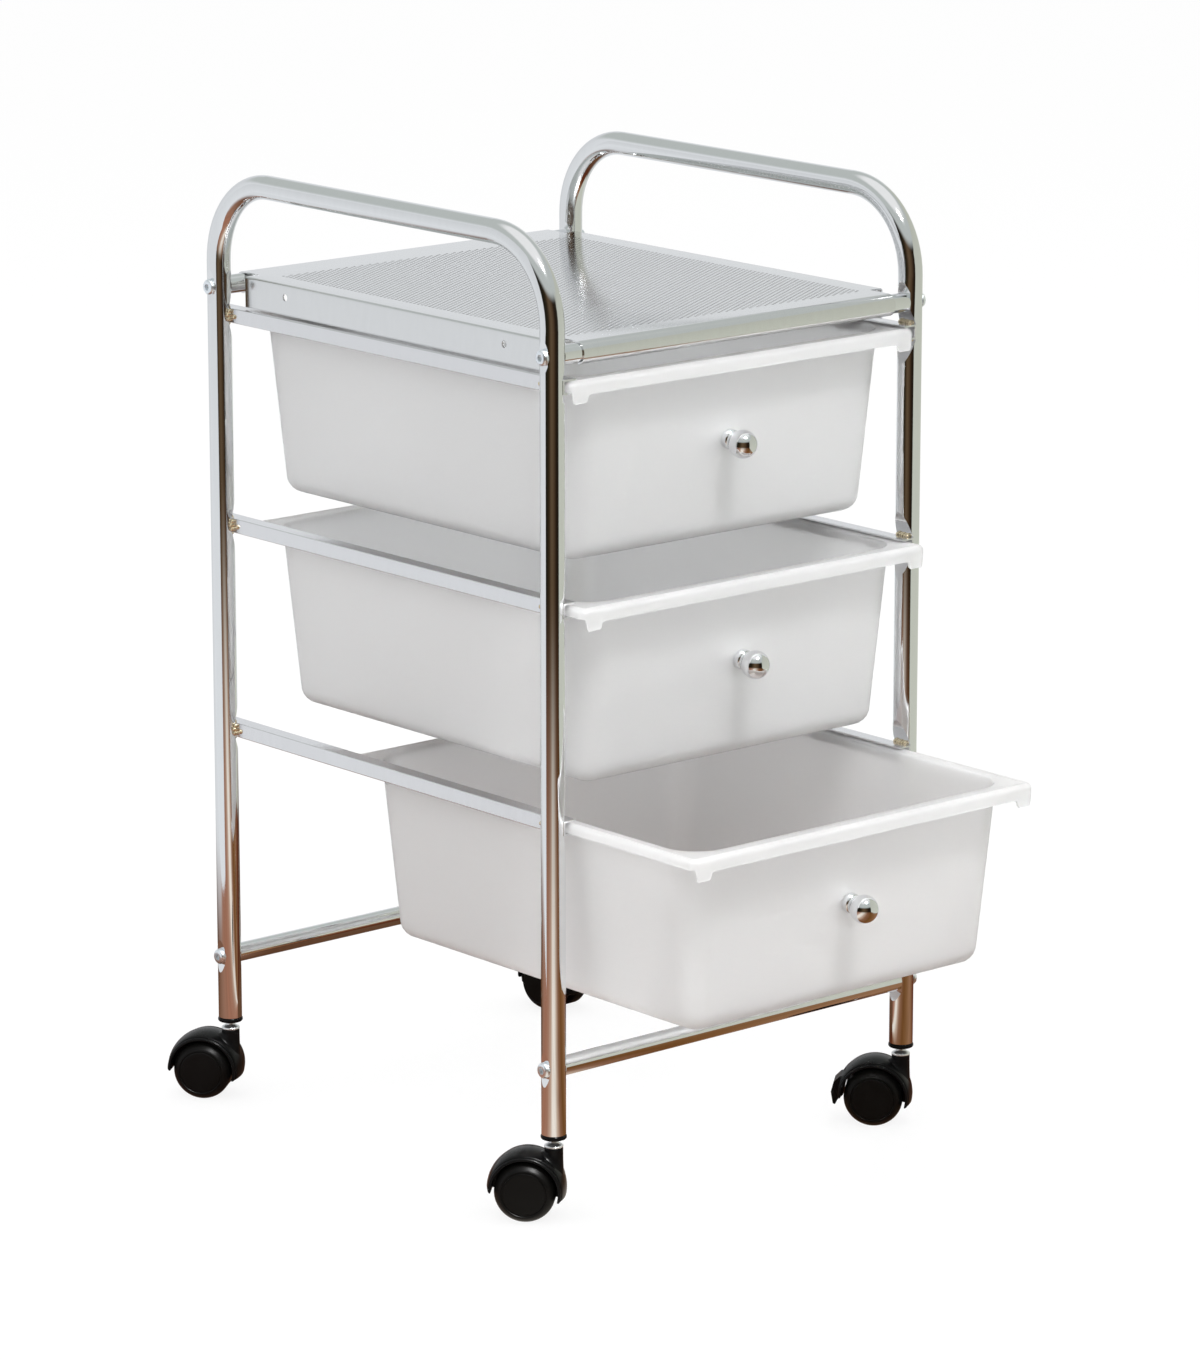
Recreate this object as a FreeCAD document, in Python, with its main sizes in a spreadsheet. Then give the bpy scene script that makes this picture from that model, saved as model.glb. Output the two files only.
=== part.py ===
"""Rolling storage cart: two bent chrome side frames, six welded channel rails,
a perforated top shelf, three moulded drawers with ball knobs and four
twin-wheel casters.

Frame: millimetres, +Z up, origin on the floor midway between the four legs,
-Y towards the knobs, +X to the right when the knobs are seen.
"""

import FreeCAD, Part
import math
import os
import re

import Sketcher
from FreeCAD import Placement, Rotation, Vector

# Every size of the cart that can be set by itself, in millimetres or degrees.
SIZES = {
    # Side frames: one round tube each, bent to an inverted U.
    "leg_radius": 8.0,
    "leg_wall": 1.2,
    "half_track": 153.5,
    "half_depth": 171.5,
    "handle_stub": 17.0,
    "handle_bend": 55.0,
    "rail_press": 6.0,
    "rail_press_gap": 0.6,
    "rail_press_slope": 16.0,
    "tube_press": 2.5,
    "tube_press_gap": 0.25,
    "tube_press_slope": 7.0,
    "bolt_press": 1.0,
    "bolt_press_gap": 0.2,
    "bolt_press_slope": 6.0,
    # Cross tubes, their threaded inserts and the bolts through the legs.
    "cross_radius": 6.35,
    "cross_wall": 1.0,
    "cross_low_rise": 43.8,
    "cross_top_room": 7.85,
    "insert_length": 12.0,
    "bolt_radius": 2.5,
    "bolt_length": 22.0,
    "bolt_head_radius": 5.2,
    "bolt_head_height": 3.4,
    "bolt_hole_gap": 0.3,
    "thread_gap": 0.05,
    # Rails: channels open towards the drawers, flush with the legs.
    "low_storey_room": 42.4,
    "middle_storey_room": 19.2,
    "top_storey_room": 20.8,
    "rail_height": 9.8,
    "rail_width": 10.3,
    "rail_wall": 1.2,
    "bead_leg": 1.6,
    "bead_length": 10.0,
    # Top shelf: sheet with turned-down sides and curled front and rear edges.
    "shelf_gauge": 1.0,
    "shelf_leg_gap": 0.5,
    "shelf_rail_gap": 1.1,
    "shelf_flange_gap": 9.5,
    "shelf_bend": 2.0,
    "curl_inset": 11.5,
    "curl_turn": 170.0,
    "curl_gap": 0.05,
    "flange_hole_radius": 2.4,
    "flange_hole_front_inset": 39.5,
    "flange_hole_rear_inset": 43.0,
    "flange_hole_drop": 8.6,
    # Drawers, measured from the rim's top face and the shut position.
    "rim_head_gap": 0.8,
    "rim_run_gap": 0.3,
    "rim_rail_gap": 1.8,
    "rim_stop_gap": 0.9,
    "rim_rear_room": 13.5,
    "rim_corner": 6.0,
    "rim_gauge": 2.0,
    "rim_front_lip": 9.0,
    "rim_tab_width": 12.0,
    "rim_tab_depth": 14.5,
    "rim_ridge_inset": 3.0,
    "rim_ridge_width": 1.4,
    "rim_ridge_height": 0.4,
    "bin_rail_gap": 1.9,
    "bin_front_inset": 11.7,
    "bin_rear_inset": 11.5,
    "bin_corner": 26.0,
    "bin_wall": 1.6,
    "bin_floor": 1.8,
    "bin_height": 122.0,
    "bin_draft": 5.8,
    "bin_round": 12.0,
    "top_drawer_out": 0.0,
    "middle_drawer_out": 13.2,
    "bottom_drawer_out": 117.5,
    # Knobs and the screws that hold them from inside the drawers.
    "knob_drop": 57.0,
    "knob_collar_radius": 5.0,
    "knob_collar_length": 7.0,
    "knob_waist_radius": 3.2,
    "knob_ball_radius": 8.0,
    "knob_ball_reach": 20.5,
    "knob_thread_depth": 14.0,
    "screw_radius": 2.0,
    "screw_length": 13.0,
    "screw_head_radius": 4.2,
    "screw_head_height": 2.4,
    "screw_hole_gap": 0.6,
    # Caster plugs, stems, hoods, axles and wheels.
    "plug_flange_lip": 0.5,
    "plug_flange": 2.2,
    "plug_length": 25.0,
    "plug_cap": 3.0,
    "stem_radius": 3.0,
    "stem_fit": 0.08,
    "stem_show": 1.5,
    "stem_end_gap": 0.5,
    "stem_seat_drop": 3.0,
    "collar_radius": 6.2,
    "collar_gap": 0.1,
    "collar_height": 2.4,
    "trail": 17.5,
    "wheel_radius": 20.0,
    "wheel_width": 14.6,
    "wheel_web_gap": 0.5,
    "wheel_round": 2.5,
    "wheel_face_recess": 0.5,
    "wheel_face_inset": 4.6,
    "axle_radius": 2.5,
    "axle_cover": 3.8,
    "axle_end_gap": 0.5,
    "axle_fit": 0.06,
    "hood_wheel_gap": 1.0,
    "hood_edge_wall": 1.3,
    "hood_crown_wall": 4.8,
    "hood_web_half": 2.7,
    "wheel_proud": 1.4,
    "hood_trailing_reach": 92.0,
    "hood_leading_reach": 106.0,
    "hood_hub_wall": 3.5,
    "boss_wall": 5.6,
    "neck_wall": 3.1,
    "boss_foot_drop": 8.0,
    "boss_shoulder_drop": 1.5,
    "neck_foot_rise": 5.0,
    "neck_rise": 9.3,
    "swivel_rear_left": 129.0,
    "swivel_front_left": 133.0,
    "swivel_front_right": 132.0,
    "swivel_rear_right": 92.0,
    # Brake levers, measured from the wheels' room and the axle.
    "lever_half_width": 7.6,
    "lever_slot_gap": 0.4,
    "lever_pin_inset": 0.9,
    "lever_pin_rise": 10.3,
    "lever_pin_radius": 1.2,
    "lever_pin_fit": 0.08,
    "lever_pin_reach": 2.6,
    "lever_groove_half": 0.7,
    "lever_groove_pitch": 3.2,
}

# What fits another piece, from the sizes above and the names before it.
FITS = {
    "axle_level": "wheel_radius",
    "wheel_inner": "hood_web_half + wheel_web_gap",
    "wheel_outer": "wheel_inner + wheel_width",
    "wheel_face_radius": "wheel_radius - wheel_face_inset",
    "axle_half": "wheel_outer - axle_cover",
    "hood_inner_radius": "wheel_radius + hood_wheel_gap",
    "hood_edge_radius": "hood_inner_radius + hood_edge_wall",
    "hood_crown_radius": "hood_inner_radius + hood_crown_wall",
    "hood_half_width": "wheel_outer - wheel_proud",
    "hood_hub_radius": "axle_radius + hood_hub_wall",
    "boss_radius": "stem_radius + boss_wall",
    "neck_radius": "stem_radius + neck_wall",
    "boss_foot": "hood_inner_radius - boss_foot_drop",
    "boss_shoulder": "hood_inner_radius - boss_shoulder_drop",
    "neck_foot": "hood_inner_radius + neck_foot_rise",
    "neck_top": "hood_inner_radius + neck_rise",
    "stem_foot_level": "axle_level + hood_inner_radius - stem_seat_drop",
    "collar_level": "axle_level + neck_top + collar_gap",
    "foot_level": "collar_level + collar_height + stem_show + plug_flange",
    "stem_top_level": "foot_level + plug_length - plug_cap - stem_end_gap",
    "plug_flange_radius": "leg_radius + plug_flange_lip",
    "lever_pin_x": "hood_inner_radius - lever_pin_inset",
    "rail_press_half": "rail_height / 2 + rail_press_gap",
    "tube_press_half": "cross_radius + tube_press_gap",
    "bolt_press_half": "bolt_head_radius + bolt_press_gap",
    "bolt_hole_radius": "bolt_radius + bolt_hole_gap",
    "screw_hole_radius": "screw_radius + screw_hole_gap",
    "cross_low_level": "foot_level + cross_low_rise",
    "rail_low_level": "cross_low_level + bin_height + low_storey_room",
    "rail_mid_level": "rail_low_level + bin_height + middle_storey_room",
    "rail_top_level": "rail_mid_level + bin_height + top_storey_room",
    "cross_top_level": "rail_top_level + cross_radius + cross_top_room",
    "handle_level": "cross_top_level + handle_stub + handle_bend",
    "rail_web": "half_track - leg_radius + rail_press",
    "shelf_half_width": "half_track - leg_radius - shelf_leg_gap",
    "shelf_flange_half": "half_depth - leg_radius - shelf_flange_gap",
    "curl_half_width": "shelf_half_width - curl_inset",
    "flange_hole_front": "flange_hole_front_inset - shelf_flange_half",
    "flange_hole_rear": "shelf_flange_half - flange_hole_rear_inset",
    "rim_drop": "rail_wall + rim_head_gap",
    "rim_side_lip": "rail_height - rail_wall - rim_drop - rim_run_gap",
    "rim_half_width": "rail_web - rail_wall - rim_rail_gap",
    "rim_front": "-(half_depth + leg_radius + rim_stop_gap + rim_gauge)",
    "rim_rear": "half_depth + leg_radius - rim_rear_room",
    "bin_half_width": "rail_web - rail_width - bin_rail_gap",
    "bin_front": "rim_front + bin_front_inset",
    "bin_rear": "rim_rear - bin_rear_inset",
}

doc = FreeCAD.newDocument("rolling_storage_cart")
sheet = doc.addObject("Spreadsheet::Sheet", "Sizes")
for row, (alias, size) in enumerate(SIZES.items(), start=1):
    sheet.set("A%d" % row, alias)
    sheet.set("B%d" % row, repr(size))
    sheet.setAlias("B%d" % row, alias)
doc.recompute()

PARTS = []


def full(expression):
    """Point every size named in an expression at its cell, and write out fits."""
    def cell(word):
        name = word.group(0)
        if name in FITS:
            return "(%s)" % full(FITS[name])
        return "Sizes." + name if name in SIZES else name

    return re.sub(r"[a-z][a-z_]+[a-z]", cell, str(expression))


def value(expression):
    """Number that an expression gives now."""
    result = sheet.evalExpression(full(expression))
    return float(getattr(result, "Value", result))


def bind(target, **expressions):
    """Bind properties of an object to expressions of the sizes."""
    for name, expression in expressions.items():
        target.setExpression(name, full(expression))


def place(target, x="0", y="0", z="0", angle=None, axis=Vector(0, 0, 1)):
    """Bind an object's placement, turned by angle degrees about axis."""
    target.Placement = Placement(Vector(), Rotation(axis, value(angle or "0")))
    for name, expression in (("x", x), ("y", y), ("z", z)):
        target.setExpression("Placement.Base." + name, full(expression))
    if angle is not None:
        target.setExpression("Placement.Rotation.Angle", "(%s) * 1 deg" % full(angle))


def new_body(label, part=True):
    """Body with a label of its own; a part of the cart unless it is a tool."""
    body = doc.addObject("PartDesign::Body", label)
    body.Label = label
    body.AllowCompound = True
    if part:
        PARTS.append(body)
    return body


def datum(body, role):
    """Origin plane or axis of a body."""
    return next(item for item in body.Origin.OriginFeatures if item.Role == role)


def new_sketch(body, role, name, offset=None):
    """Sketch on an origin plane, moved along the plane's normal by offset."""
    sketch = body.newObject("Sketcher::SketchObject", name)
    sketch.AttachmentSupport = [(datum(body, role), "")]
    sketch.MapMode = "FlatFace"
    if offset is not None:
        sketch.setExpression("AttachmentOffset.Base.z", full(offset))
    return sketch


def fix_point(sketch, geometry, end, x, y):
    """Tie one end of a sketch element to the sketch's origin."""
    for kind, expression in (("DistanceX", x), ("DistanceY", y)):
        index = sketch.addConstraint(
            Sketcher.Constraint(kind, -1, 1, geometry, end, value(expression))
        )
        sketch.setExpression("Constraints[%d]" % index, full(expression))


def draw(sketch, points):
    """Closed outline through points (x, y), or (x, y, r) where an arc of radius
    r leads to the next point: counter-clockwise for r > 0, else clockwise."""
    first = sketch.GeometryCount
    spots = [Vector(value(p[0]), value(p[1]), 0) for p in points]
    for index, point in enumerate(points):
        start = spots[index]
        end = spots[(index + 1) % len(points)]
        if len(point) == 2:
            sketch.addGeometry(Part.LineSegment(start, end), False)
            continue
        radius = value(point[2])
        chord = end - start
        lift = math.sqrt(max(radius * radius - chord.Length ** 2 / 4, 0))
        side = Vector(-chord.y, chord.x, 0).normalize() * math.copysign(1, radius)
        centre = (start + end) / 2 + side * lift
        circle = Part.Circle(centre, Vector(0, 0, 1), abs(radius))
        ends = (start, end) if radius > 0 else (end, start)
        angles = [math.atan2(p.y - centre.y, p.x - centre.x) for p in ends]
        if angles[1] < angles[0]:
            angles[1] += 2 * math.pi
        sketch.addGeometry(Part.ArcOfCircle(circle, *angles), False)
    count = len(points)
    for index, point in enumerate(points):
        here = first + index
        after = first + (index + 1) % count
        clockwise = len(point) == 3 and value(point[2]) < 0
        next_point = points[(index + 1) % count]
        next_clockwise = len(next_point) == 3 and value(next_point[2]) < 0
        last_end = 1 if clockwise else 2
        next_start = 2 if next_clockwise else 1
        sketch.addConstraint(Sketcher.Constraint("Coincident", here, last_end, after, next_start))
        fix_point(sketch, here, 2 if clockwise else 1, point[0], point[1])
        if len(point) == 3:
            index = sketch.addConstraint(
                Sketcher.Constraint("Radius", here, abs(value(point[2])))
            )
            sketch.setExpression("Constraints[%d]" % index, "abs(%s)" % full(point[2]))


def draw_circle(sketch, x, y, radius):
    """Circle tied to the sketch's origin."""
    centre = Vector(value(x), value(y), 0)
    index = sketch.addGeometry(Part.Circle(centre, Vector(0, 0, 1), value(radius)), False)
    fix_point(sketch, index, 3, x, y)
    tie = sketch.addConstraint(Sketcher.Constraint("Radius", index, value(radius)))
    sketch.setExpression("Constraints[%d]" % tie, full(radius))


def draw_rounded(sketch, half, low, high, corner):
    """Rectangle from -half to half and low to high with rounded corners."""
    draw(
        sketch,
        [
            ("-(%s) + %s" % (half, corner), low),
            ("%s - (%s)" % (half, corner), low, corner),
            (half, "%s + %s" % (low, corner)),
            (half, "%s - (%s)" % (high, corner), corner),
            ("%s - (%s)" % (half, corner), high),
            ("-(%s) + %s" % (half, corner), high, corner),
            ("-(%s)" % half, "%s - (%s)" % (high, corner)),
            ("-(%s)" % half, "%s + %s" % (low, corner), corner),
        ],
    )


def feature(body, kind, name, profile, **settings):
    """Feature on a profile sketch; text settings are expressions."""
    item = body.newObject("PartDesign::" + kind, name)
    item.Profile = profile
    for key, setting in settings.items():
        if isinstance(setting, str) and key not in ("Type", "SideType"):
            item.setExpression(key, full(setting))
        else:
            setattr(item, key, setting)
    profile.Visibility = False
    return item


def turn(body, name, sketch, axis="V_Axis", kind="Revolution"):
    """Full turn of a sketch about one of its own axes."""
    return feature(body, kind, name, sketch, ReferenceAxis=(sketch, [axis]), Angle=360.0)


def round_edges(body, name, radius, wanted):
    """Fillet on the edges of the body's tip that wanted picks."""
    doc.recompute()
    tip = body.Tip
    names = [
        "Edge%d" % (index + 1)
        for index, edge in enumerate(tip.Shape.Edges)
        if wanted(edge)
    ]
    item = body.newObject("PartDesign::Fillet", name)
    item.Base = (tip, names)
    item.setExpression("Radius", full(radius))
    return item


def spread(body, name, features, mirrors):
    """Copies of features mirrored in each of the named origin planes in turn."""
    item = body.newObject("PartDesign::MultiTransform", name)
    item.Originals = features
    steps = []
    for role in mirrors:
        mirror = body.newObject("PartDesign::Mirrored", "Mirror" + role[:2])
        mirror.MirrorPlane = (datum(body, role), [""])
        steps.append(mirror)
    item.Transformations = steps
    body.Tip = item
    return item


def level_edge(z, tolerance=0.01):
    """Test for an edge that lies at one height."""
    return lambda edge: (
        abs(edge.BoundBox.ZMin - z) < tolerance and abs(edge.BoundBox.ZMax - z) < tolerance
    )


RAIL_LEVELS = ("rail_top_level", "rail_mid_level", "rail_low_level")


def press(sketch, side, level, depth, half, slope, radius, shrink):
    """Trapezoid that a press leaves in a leg, towards side * X."""
    floor = "%s * (%s - %s - (%s))" % (side, "leg_radius", depth, shrink)
    out = "%s * (leg_radius + 2)" % side
    reach = "(%s + %s * (%s + 2) / %s)" % (half, slope, depth, depth)
    corners = [
        (floor, "%s - %s" % (level, half)),
        (out, "%s - %s" % (level, reach)),
        (out, "%s + %s" % (level, reach)),
        (floor, "%s + %s" % (level, half)),
    ]
    draw(sketch, corners)


def bent_rod(label, radius, shrink, part):
    """Rod along the inverted U with every press mark in it; shrink moves the
    marks inwards, so the core leaves a wall of even thickness behind them."""
    body = new_body(label, part)
    path = new_sketch(body, "YZ_Plane", "Centreline")
    corner = "handle_level - handle_bend"
    bend = "half_depth - handle_bend"
    spots = [
        ("-half_depth", "foot_level"),
        ("-half_depth", corner),
        ("-(%s)" % bend, "handle_level"),
        (bend, "handle_level"),
        ("half_depth", corner),
        ("half_depth", "foot_level"),
    ]
    at = [Vector(value(x), value(y), 0) for x, y in spots]
    arms = [Vector(-value(bend), value(corner), 0), Vector(value(bend), value(corner), 0)]
    bend_radius = value("handle_bend")
    path.addGeometry(Part.LineSegment(at[0], at[1]), False)
    ring = Part.Circle(arms[0], Vector(0, 0, 1), bend_radius)
    path.addGeometry(Part.ArcOfCircle(ring, math.pi / 2, math.pi), False)
    path.addGeometry(Part.LineSegment(at[2], at[3]), False)
    ring = Part.Circle(arms[1], Vector(0, 0, 1), bend_radius)
    path.addGeometry(Part.ArcOfCircle(ring, 0, math.pi / 2), False)
    path.addGeometry(Part.LineSegment(at[4], at[5]), False)
    joints = [(0, 2, 1, 2), (1, 1, 2, 1), (2, 2, 3, 2), (3, 1, 4, 1)]
    for joint in joints:
        path.addConstraint(Sketcher.Constraint("Coincident", *joint))
    for geometry, end, spot in ((0, 1, 0), (0, 2, 1), (2, 1, 2), (2, 2, 3), (4, 1, 4), (4, 2, 5)):
        fix_point(path, geometry, end, *spots[spot])
    for geometry in (1, 3):
        tie = path.addConstraint(Sketcher.Constraint("Radius", geometry, bend_radius))
        path.setExpression("Constraints[%d]" % tie, full("handle_bend"))
    section = new_sketch(body, "XY_Plane", "Section", "foot_level")
    draw_circle(section, "0", "-half_depth", radius)
    feature(body, "AdditivePipe", "Tube", section, Spine=(path, [""]))
    marks = new_sketch(body, "XZ_Plane", "PressMarks")
    for level in RAIL_LEVELS:
        middle = "%s - rail_height / 2" % level
        press(marks, "1", middle, "rail_press", "rail_press_half", "rail_press_slope", radius, shrink)
    for level in ("cross_top_level", "cross_low_level"):
        press(marks, "-1", level, "bolt_press", "bolt_press_half", "bolt_press_slope", radius, shrink)
    feature(body, "Pocket", "Pressed", marks, Length="3 * half_depth", Midplane=True)
    seats = new_sketch(body, "XZ_Plane", "TubeSeats")
    for level in ("cross_top_level", "cross_low_level"):
        press(seats, "1", level, "tube_press", "tube_press_half", "tube_press_slope", radius, shrink)
    feature(body, "Pocket", "Seated", seats, Length="3 * half_depth", Midplane=True)
    return body


def side_frame(label, x, angle):
    """Chromed tube with its legs pressed in at the rails and cross tubes."""
    body = bent_rod(label, "leg_radius", "0", True)
    core = bent_rod(label + "_bore", "leg_radius - leg_wall", "leg_wall", False)
    hollow = body.newObject("PartDesign::Boolean", "Bore")
    hollow.setObjects([core])
    hollow.Type = "Cut"
    holes = new_sketch(body, "YZ_Plane", "BoltHoles")
    for y in ("-half_depth", "half_depth"):
        for z in ("cross_top_level", "cross_low_level"):
            draw_circle(holes, y, z, "bolt_hole_radius")
    feature(body, "Pocket", "Bolted", holes, Length="4 * leg_radius", Midplane=True)
    place(body, x=x, angle=angle)


def rail(label, x, level, angle):
    """Channel with its web on the pressed legs and its mouth to the drawers."""
    body = new_body(label)
    section = new_sketch(body, "XZ_Plane", "Channel")
    draw(
        section,
        [
            ("0", "0"),
            ("rail_width", "0"),
            ("rail_width", "rail_wall"),
            ("rail_wall", "rail_wall"),
            ("rail_wall", "rail_height - rail_wall"),
            ("rail_width", "rail_height - rail_wall"),
            ("rail_width", "rail_height"),
            ("0", "rail_height"),
        ],
    )
    length = "2 * (half_depth + leg_radius)"
    feature(body, "Pad", "Run", section, Length=length, Midplane=True)
    outer = value("rail_height")
    run = value(length)
    round_edges(
        body,
        "Folds",
        "rail_wall / 2",
        lambda edge: edge.BoundBox.YLength > run / 2
        and edge.BoundBox.XMax < 0.01
        and (edge.BoundBox.ZMax < 0.01 or edge.BoundBox.ZMin > outer - 0.01),
    )
    place(body, x=x, z="%s - rail_height" % level, angle=angle)


def weld_beads(label, level):
    """Fillet welds above and below both rails of one level, at all four legs."""
    body = new_body(label)
    section = new_sketch(body, "XZ_Plane", "Bead", "half_depth - bead_length / 2")
    face = "rail_web"
    rise = "rail_press / rail_press_slope * (bead_leg - rail_press_half + rail_height / 2)"
    tip = "%s - %s - 0.02" % (face, rise)
    inner = "%s - bead_leg" % face
    draw(section, [(face, "0"), (tip, "bead_leg"), (inner, "0")])
    under = "-rail_height"
    draw(section, [(face, under), (inner, under), (tip, "%s - bead_leg" % under)])
    bead = feature(body, "Pad", "Run", section, Length="bead_length")
    spread(body, "AllLegs", [bead], ("XZ_Plane", "YZ_Plane"))
    place(body, z=level)


def cross_tube(label, y, level):
    """Plain tube between the legs, open for an insert at each end."""
    body = new_body(label)
    section = new_sketch(body, "YZ_Plane", "Ring")
    draw_circle(section, "0", "0", "cross_radius")
    draw_circle(section, "0", "0", "cross_radius - cross_wall")
    length = "2 * (half_track - leg_radius + tube_press)"
    feature(body, "Pad", "Run", section, Length=length, Midplane=True)
    place(body, y=y, z=level)


def at_tube_ends(label, profile, mirrors=("XZ_Plane", "YZ_Plane")):
    """One turned piece at each of the eight cross-tube ends, axis along X."""
    body = new_body(label)
    turned = []
    for name, level in (("Upper", "cross_top_level"), ("Lower", "cross_low_level")):
        sketch = body.newObject("Sketcher::SketchObject", name)
        sketch.AttachmentSupport = [(datum(body, "XY_Plane"), "")]
        sketch.MapMode = "FlatFace"
        sketch.setExpression("AttachmentOffset.Base.y", full("half_depth"))
        sketch.setExpression("AttachmentOffset.Base.z", full(level))
        draw(sketch, profile)
        turned.append(turn(body, name + "Turned", sketch, "H_Axis"))
    spread(body, "AllEnds", turned, mirrors)


def top_shelf():
    """Sheet shelf: side flanges down, front and rear edges curled round tubes."""
    body = new_body("top_shelf")
    tube_top = "cross_top_level + cross_radius + curl_gap"
    top = "%s + shelf_gauge" % tube_top
    inner = "cross_radius + curl_gap"
    outer = "%s + shelf_gauge" % inner
    across = new_sketch(body, "XZ_Plane", "Tray")
    side = "shelf_half_width"
    foot = "rail_top_level + shelf_rail_gap"
    draw(
        across,
        [
            ("-(%s)" % side, foot),
            ("shelf_gauge - %s" % side, foot),
            ("shelf_gauge - %s" % side, tube_top),
            ("%s - shelf_gauge" % side, tube_top),
            ("%s - shelf_gauge" % side, foot),
            (side, foot),
            (side, "%s - shelf_bend" % top, "shelf_bend"),
            ("%s - shelf_bend" % side, top),
            ("shelf_bend - %s" % side, top, "shelf_bend"),
            ("-(%s)" % side, "%s - shelf_bend" % top),
        ],
    )
    feature(body, "Pad", "Sheet", across, Length="2 * shelf_flange_half", Midplane=True)
    along = new_sketch(body, "YZ_Plane", "Curls")
    lip = "(90 + curl_turn) * 1 deg"
    middle = "cross_top_level"
    spots = []
    for sign in ("-1", "1"):
        centre = "%s * half_depth" % sign
        bow = "-1 * " if sign == "1" else ""
        lip_y = "%s - %s * (%%s) * cos(%s)" % (centre, sign, lip)
        lip_z = "%s + (%%s) * sin(%s)" % (middle, lip)
        start = (centre, top, bow + "(%s)" % outer)
        inside = (lip_y % inner, lip_z % inner, ("-1 * " if sign == "-1" else "") + "(%s)" % inner)
        outside = (lip_y % outer, lip_z % outer)
        back = (centre, tube_top)
        spots.append((start, outside, inside, back))
    front, rear = spots
    draw(
        along,
        [
            front[0],
            front[1],
            front[2],
            front[3],
            (rear[3][0], rear[3][1], "-1 * (%s)" % inner),
            (rear[2][0], rear[2][1]),
            (rear[1][0], rear[1][1], outer),
            (rear[0][0], rear[0][1]),
        ],
    )
    feature(body, "Pad", "Curled", along, Length="2 * curl_half_width", Midplane=True)
    holes = new_sketch(body, "YZ_Plane", "FlangeHoles")
    for y in ("flange_hole_front", "flange_hole_rear"):
        draw_circle(holes, y, "%s - flange_hole_drop" % top, "flange_hole_radius")
    feature(body, "Pocket", "Drilled", holes, Length="3 * shelf_half_width", Midplane=True)


def bin_core(label):
    """Drafted block with a rounded foot that fills a drawer's inside."""
    body = new_body(label, part=False)
    inner = new_sketch(body, "XY_Plane", "BinInside")
    draw_rounded(
        inner,
        "(bin_half_width - bin_wall)",
        "(bin_front + bin_wall)",
        "(bin_rear - bin_wall)",
        "(bin_corner - bin_wall)",
    )
    feature(
        body,
        "Pad",
        "CoreBlock",
        inner,
        Length="bin_height - bin_floor",
        Reversed=True,
        TaperAngle="-bin_draft",
    )
    foot = level_edge(-value("bin_height - bin_floor"))
    round_edges(body, "CoreFoot", "bin_round - bin_wall", foot)
    return body


def drawer(label, level, out):
    """Moulded bin with drafted walls under a rim whose side lips ride in the
    rails; tabs under the front corners stop it against the rails' ends."""
    body = new_body(label)
    ring = new_sketch(body, "XY_Plane", "Skirt")
    draw_rounded(ring, "rim_half_width", "rim_front", "rim_rear", "rim_corner")
    draw_rounded(
        ring,
        "(rim_half_width - rim_gauge)",
        "(rim_front + rim_gauge)",
        "(rim_rear - rim_gauge)",
        "(rim_corner - rim_gauge)",
    )
    feature(body, "Pad", "SkirtRing", ring, Length="rim_tab_depth", Reversed=True)
    sides = new_sketch(body, "YZ_Plane", "SideLipLevel")
    below = "-rim_tab_depth - 1"
    behind = "rim_rear + 5"
    draw(
        sides,
        [
            ("rim_front + rim_gauge", below),
            (behind, below),
            (behind, "-rim_side_lip"),
            ("rim_front + rim_gauge", "-rim_side_lip"),
        ],
    )
    feature(body, "Pocket", "SideLips", sides, Length="3 * rim_half_width", Midplane=True)
    front = new_sketch(body, "XZ_Plane", "FrontLipLevel")
    inboard = "rim_half_width - rim_tab_width"
    draw(
        front,
        [
            ("-(%s)" % inboard, below),
            (inboard, below),
            (inboard, "-rim_front_lip"),
            ("-(%s)" % inboard, "-rim_front_lip"),
        ],
    )
    feature(body, "Pocket", "FrontLip", front, Length="4 * half_depth", Midplane=True)
    tab_foot = -value("rim_tab_depth")
    round_edges(
        body,
        "TabCorners",
        "rim_gauge",
        lambda edge: edge.BoundBox.ZMax < tab_foot + 0.01 and edge.BoundBox.XLength < 0.01,
    )
    flange = new_sketch(body, "XY_Plane", "Flange")
    draw_rounded(flange, "rim_half_width", "rim_front", "rim_rear", "rim_corner")
    feature(body, "Pad", "RimFlange", flange, Length="rim_gauge", Reversed=True)
    outer = new_sketch(body, "XY_Plane", "BinOutside")
    draw_rounded(outer, "bin_half_width", "bin_front", "bin_rear", "bin_corner")
    feature(
        body,
        "Pad",
        "BinBlock",
        outer,
        Length="bin_height",
        Reversed=True,
        TaperAngle="-bin_draft",
    )
    round_edges(body, "BinFoot", "bin_round", level_edge(-value("bin_height")))
    hollow = body.newObject("PartDesign::Boolean", "BinHollow")
    hollow.setObjects([bin_core(label + "_core")])
    hollow.Type = "Cut"
    ridge = new_sketch(body, "XY_Plane", "Ridge")
    for inset in ("rim_ridge_inset", "(rim_ridge_inset + rim_ridge_width)"):
        draw_rounded(
            ridge,
            "(rim_half_width - %s)" % inset,
            "(rim_front + %s)" % inset,
            "(rim_rear - %s)" % inset,
            "(rim_corner - %s / 2)" % inset,
        )
    feature(body, "Pad", "RimRidge", ridge, Length="rim_ridge_height")
    hole = new_sketch(body, "XZ_Plane", "KnobHole")
    draw_circle(hole, "0", "-knob_drop", "screw_hole_radius")
    feature(body, "Pocket", "KnobHoleCut", hole, Length="-(bin_front)", Reversed=True)
    place(body, y="-(%s)" % out, z="%s - rim_drop" % level)
    return body


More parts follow.
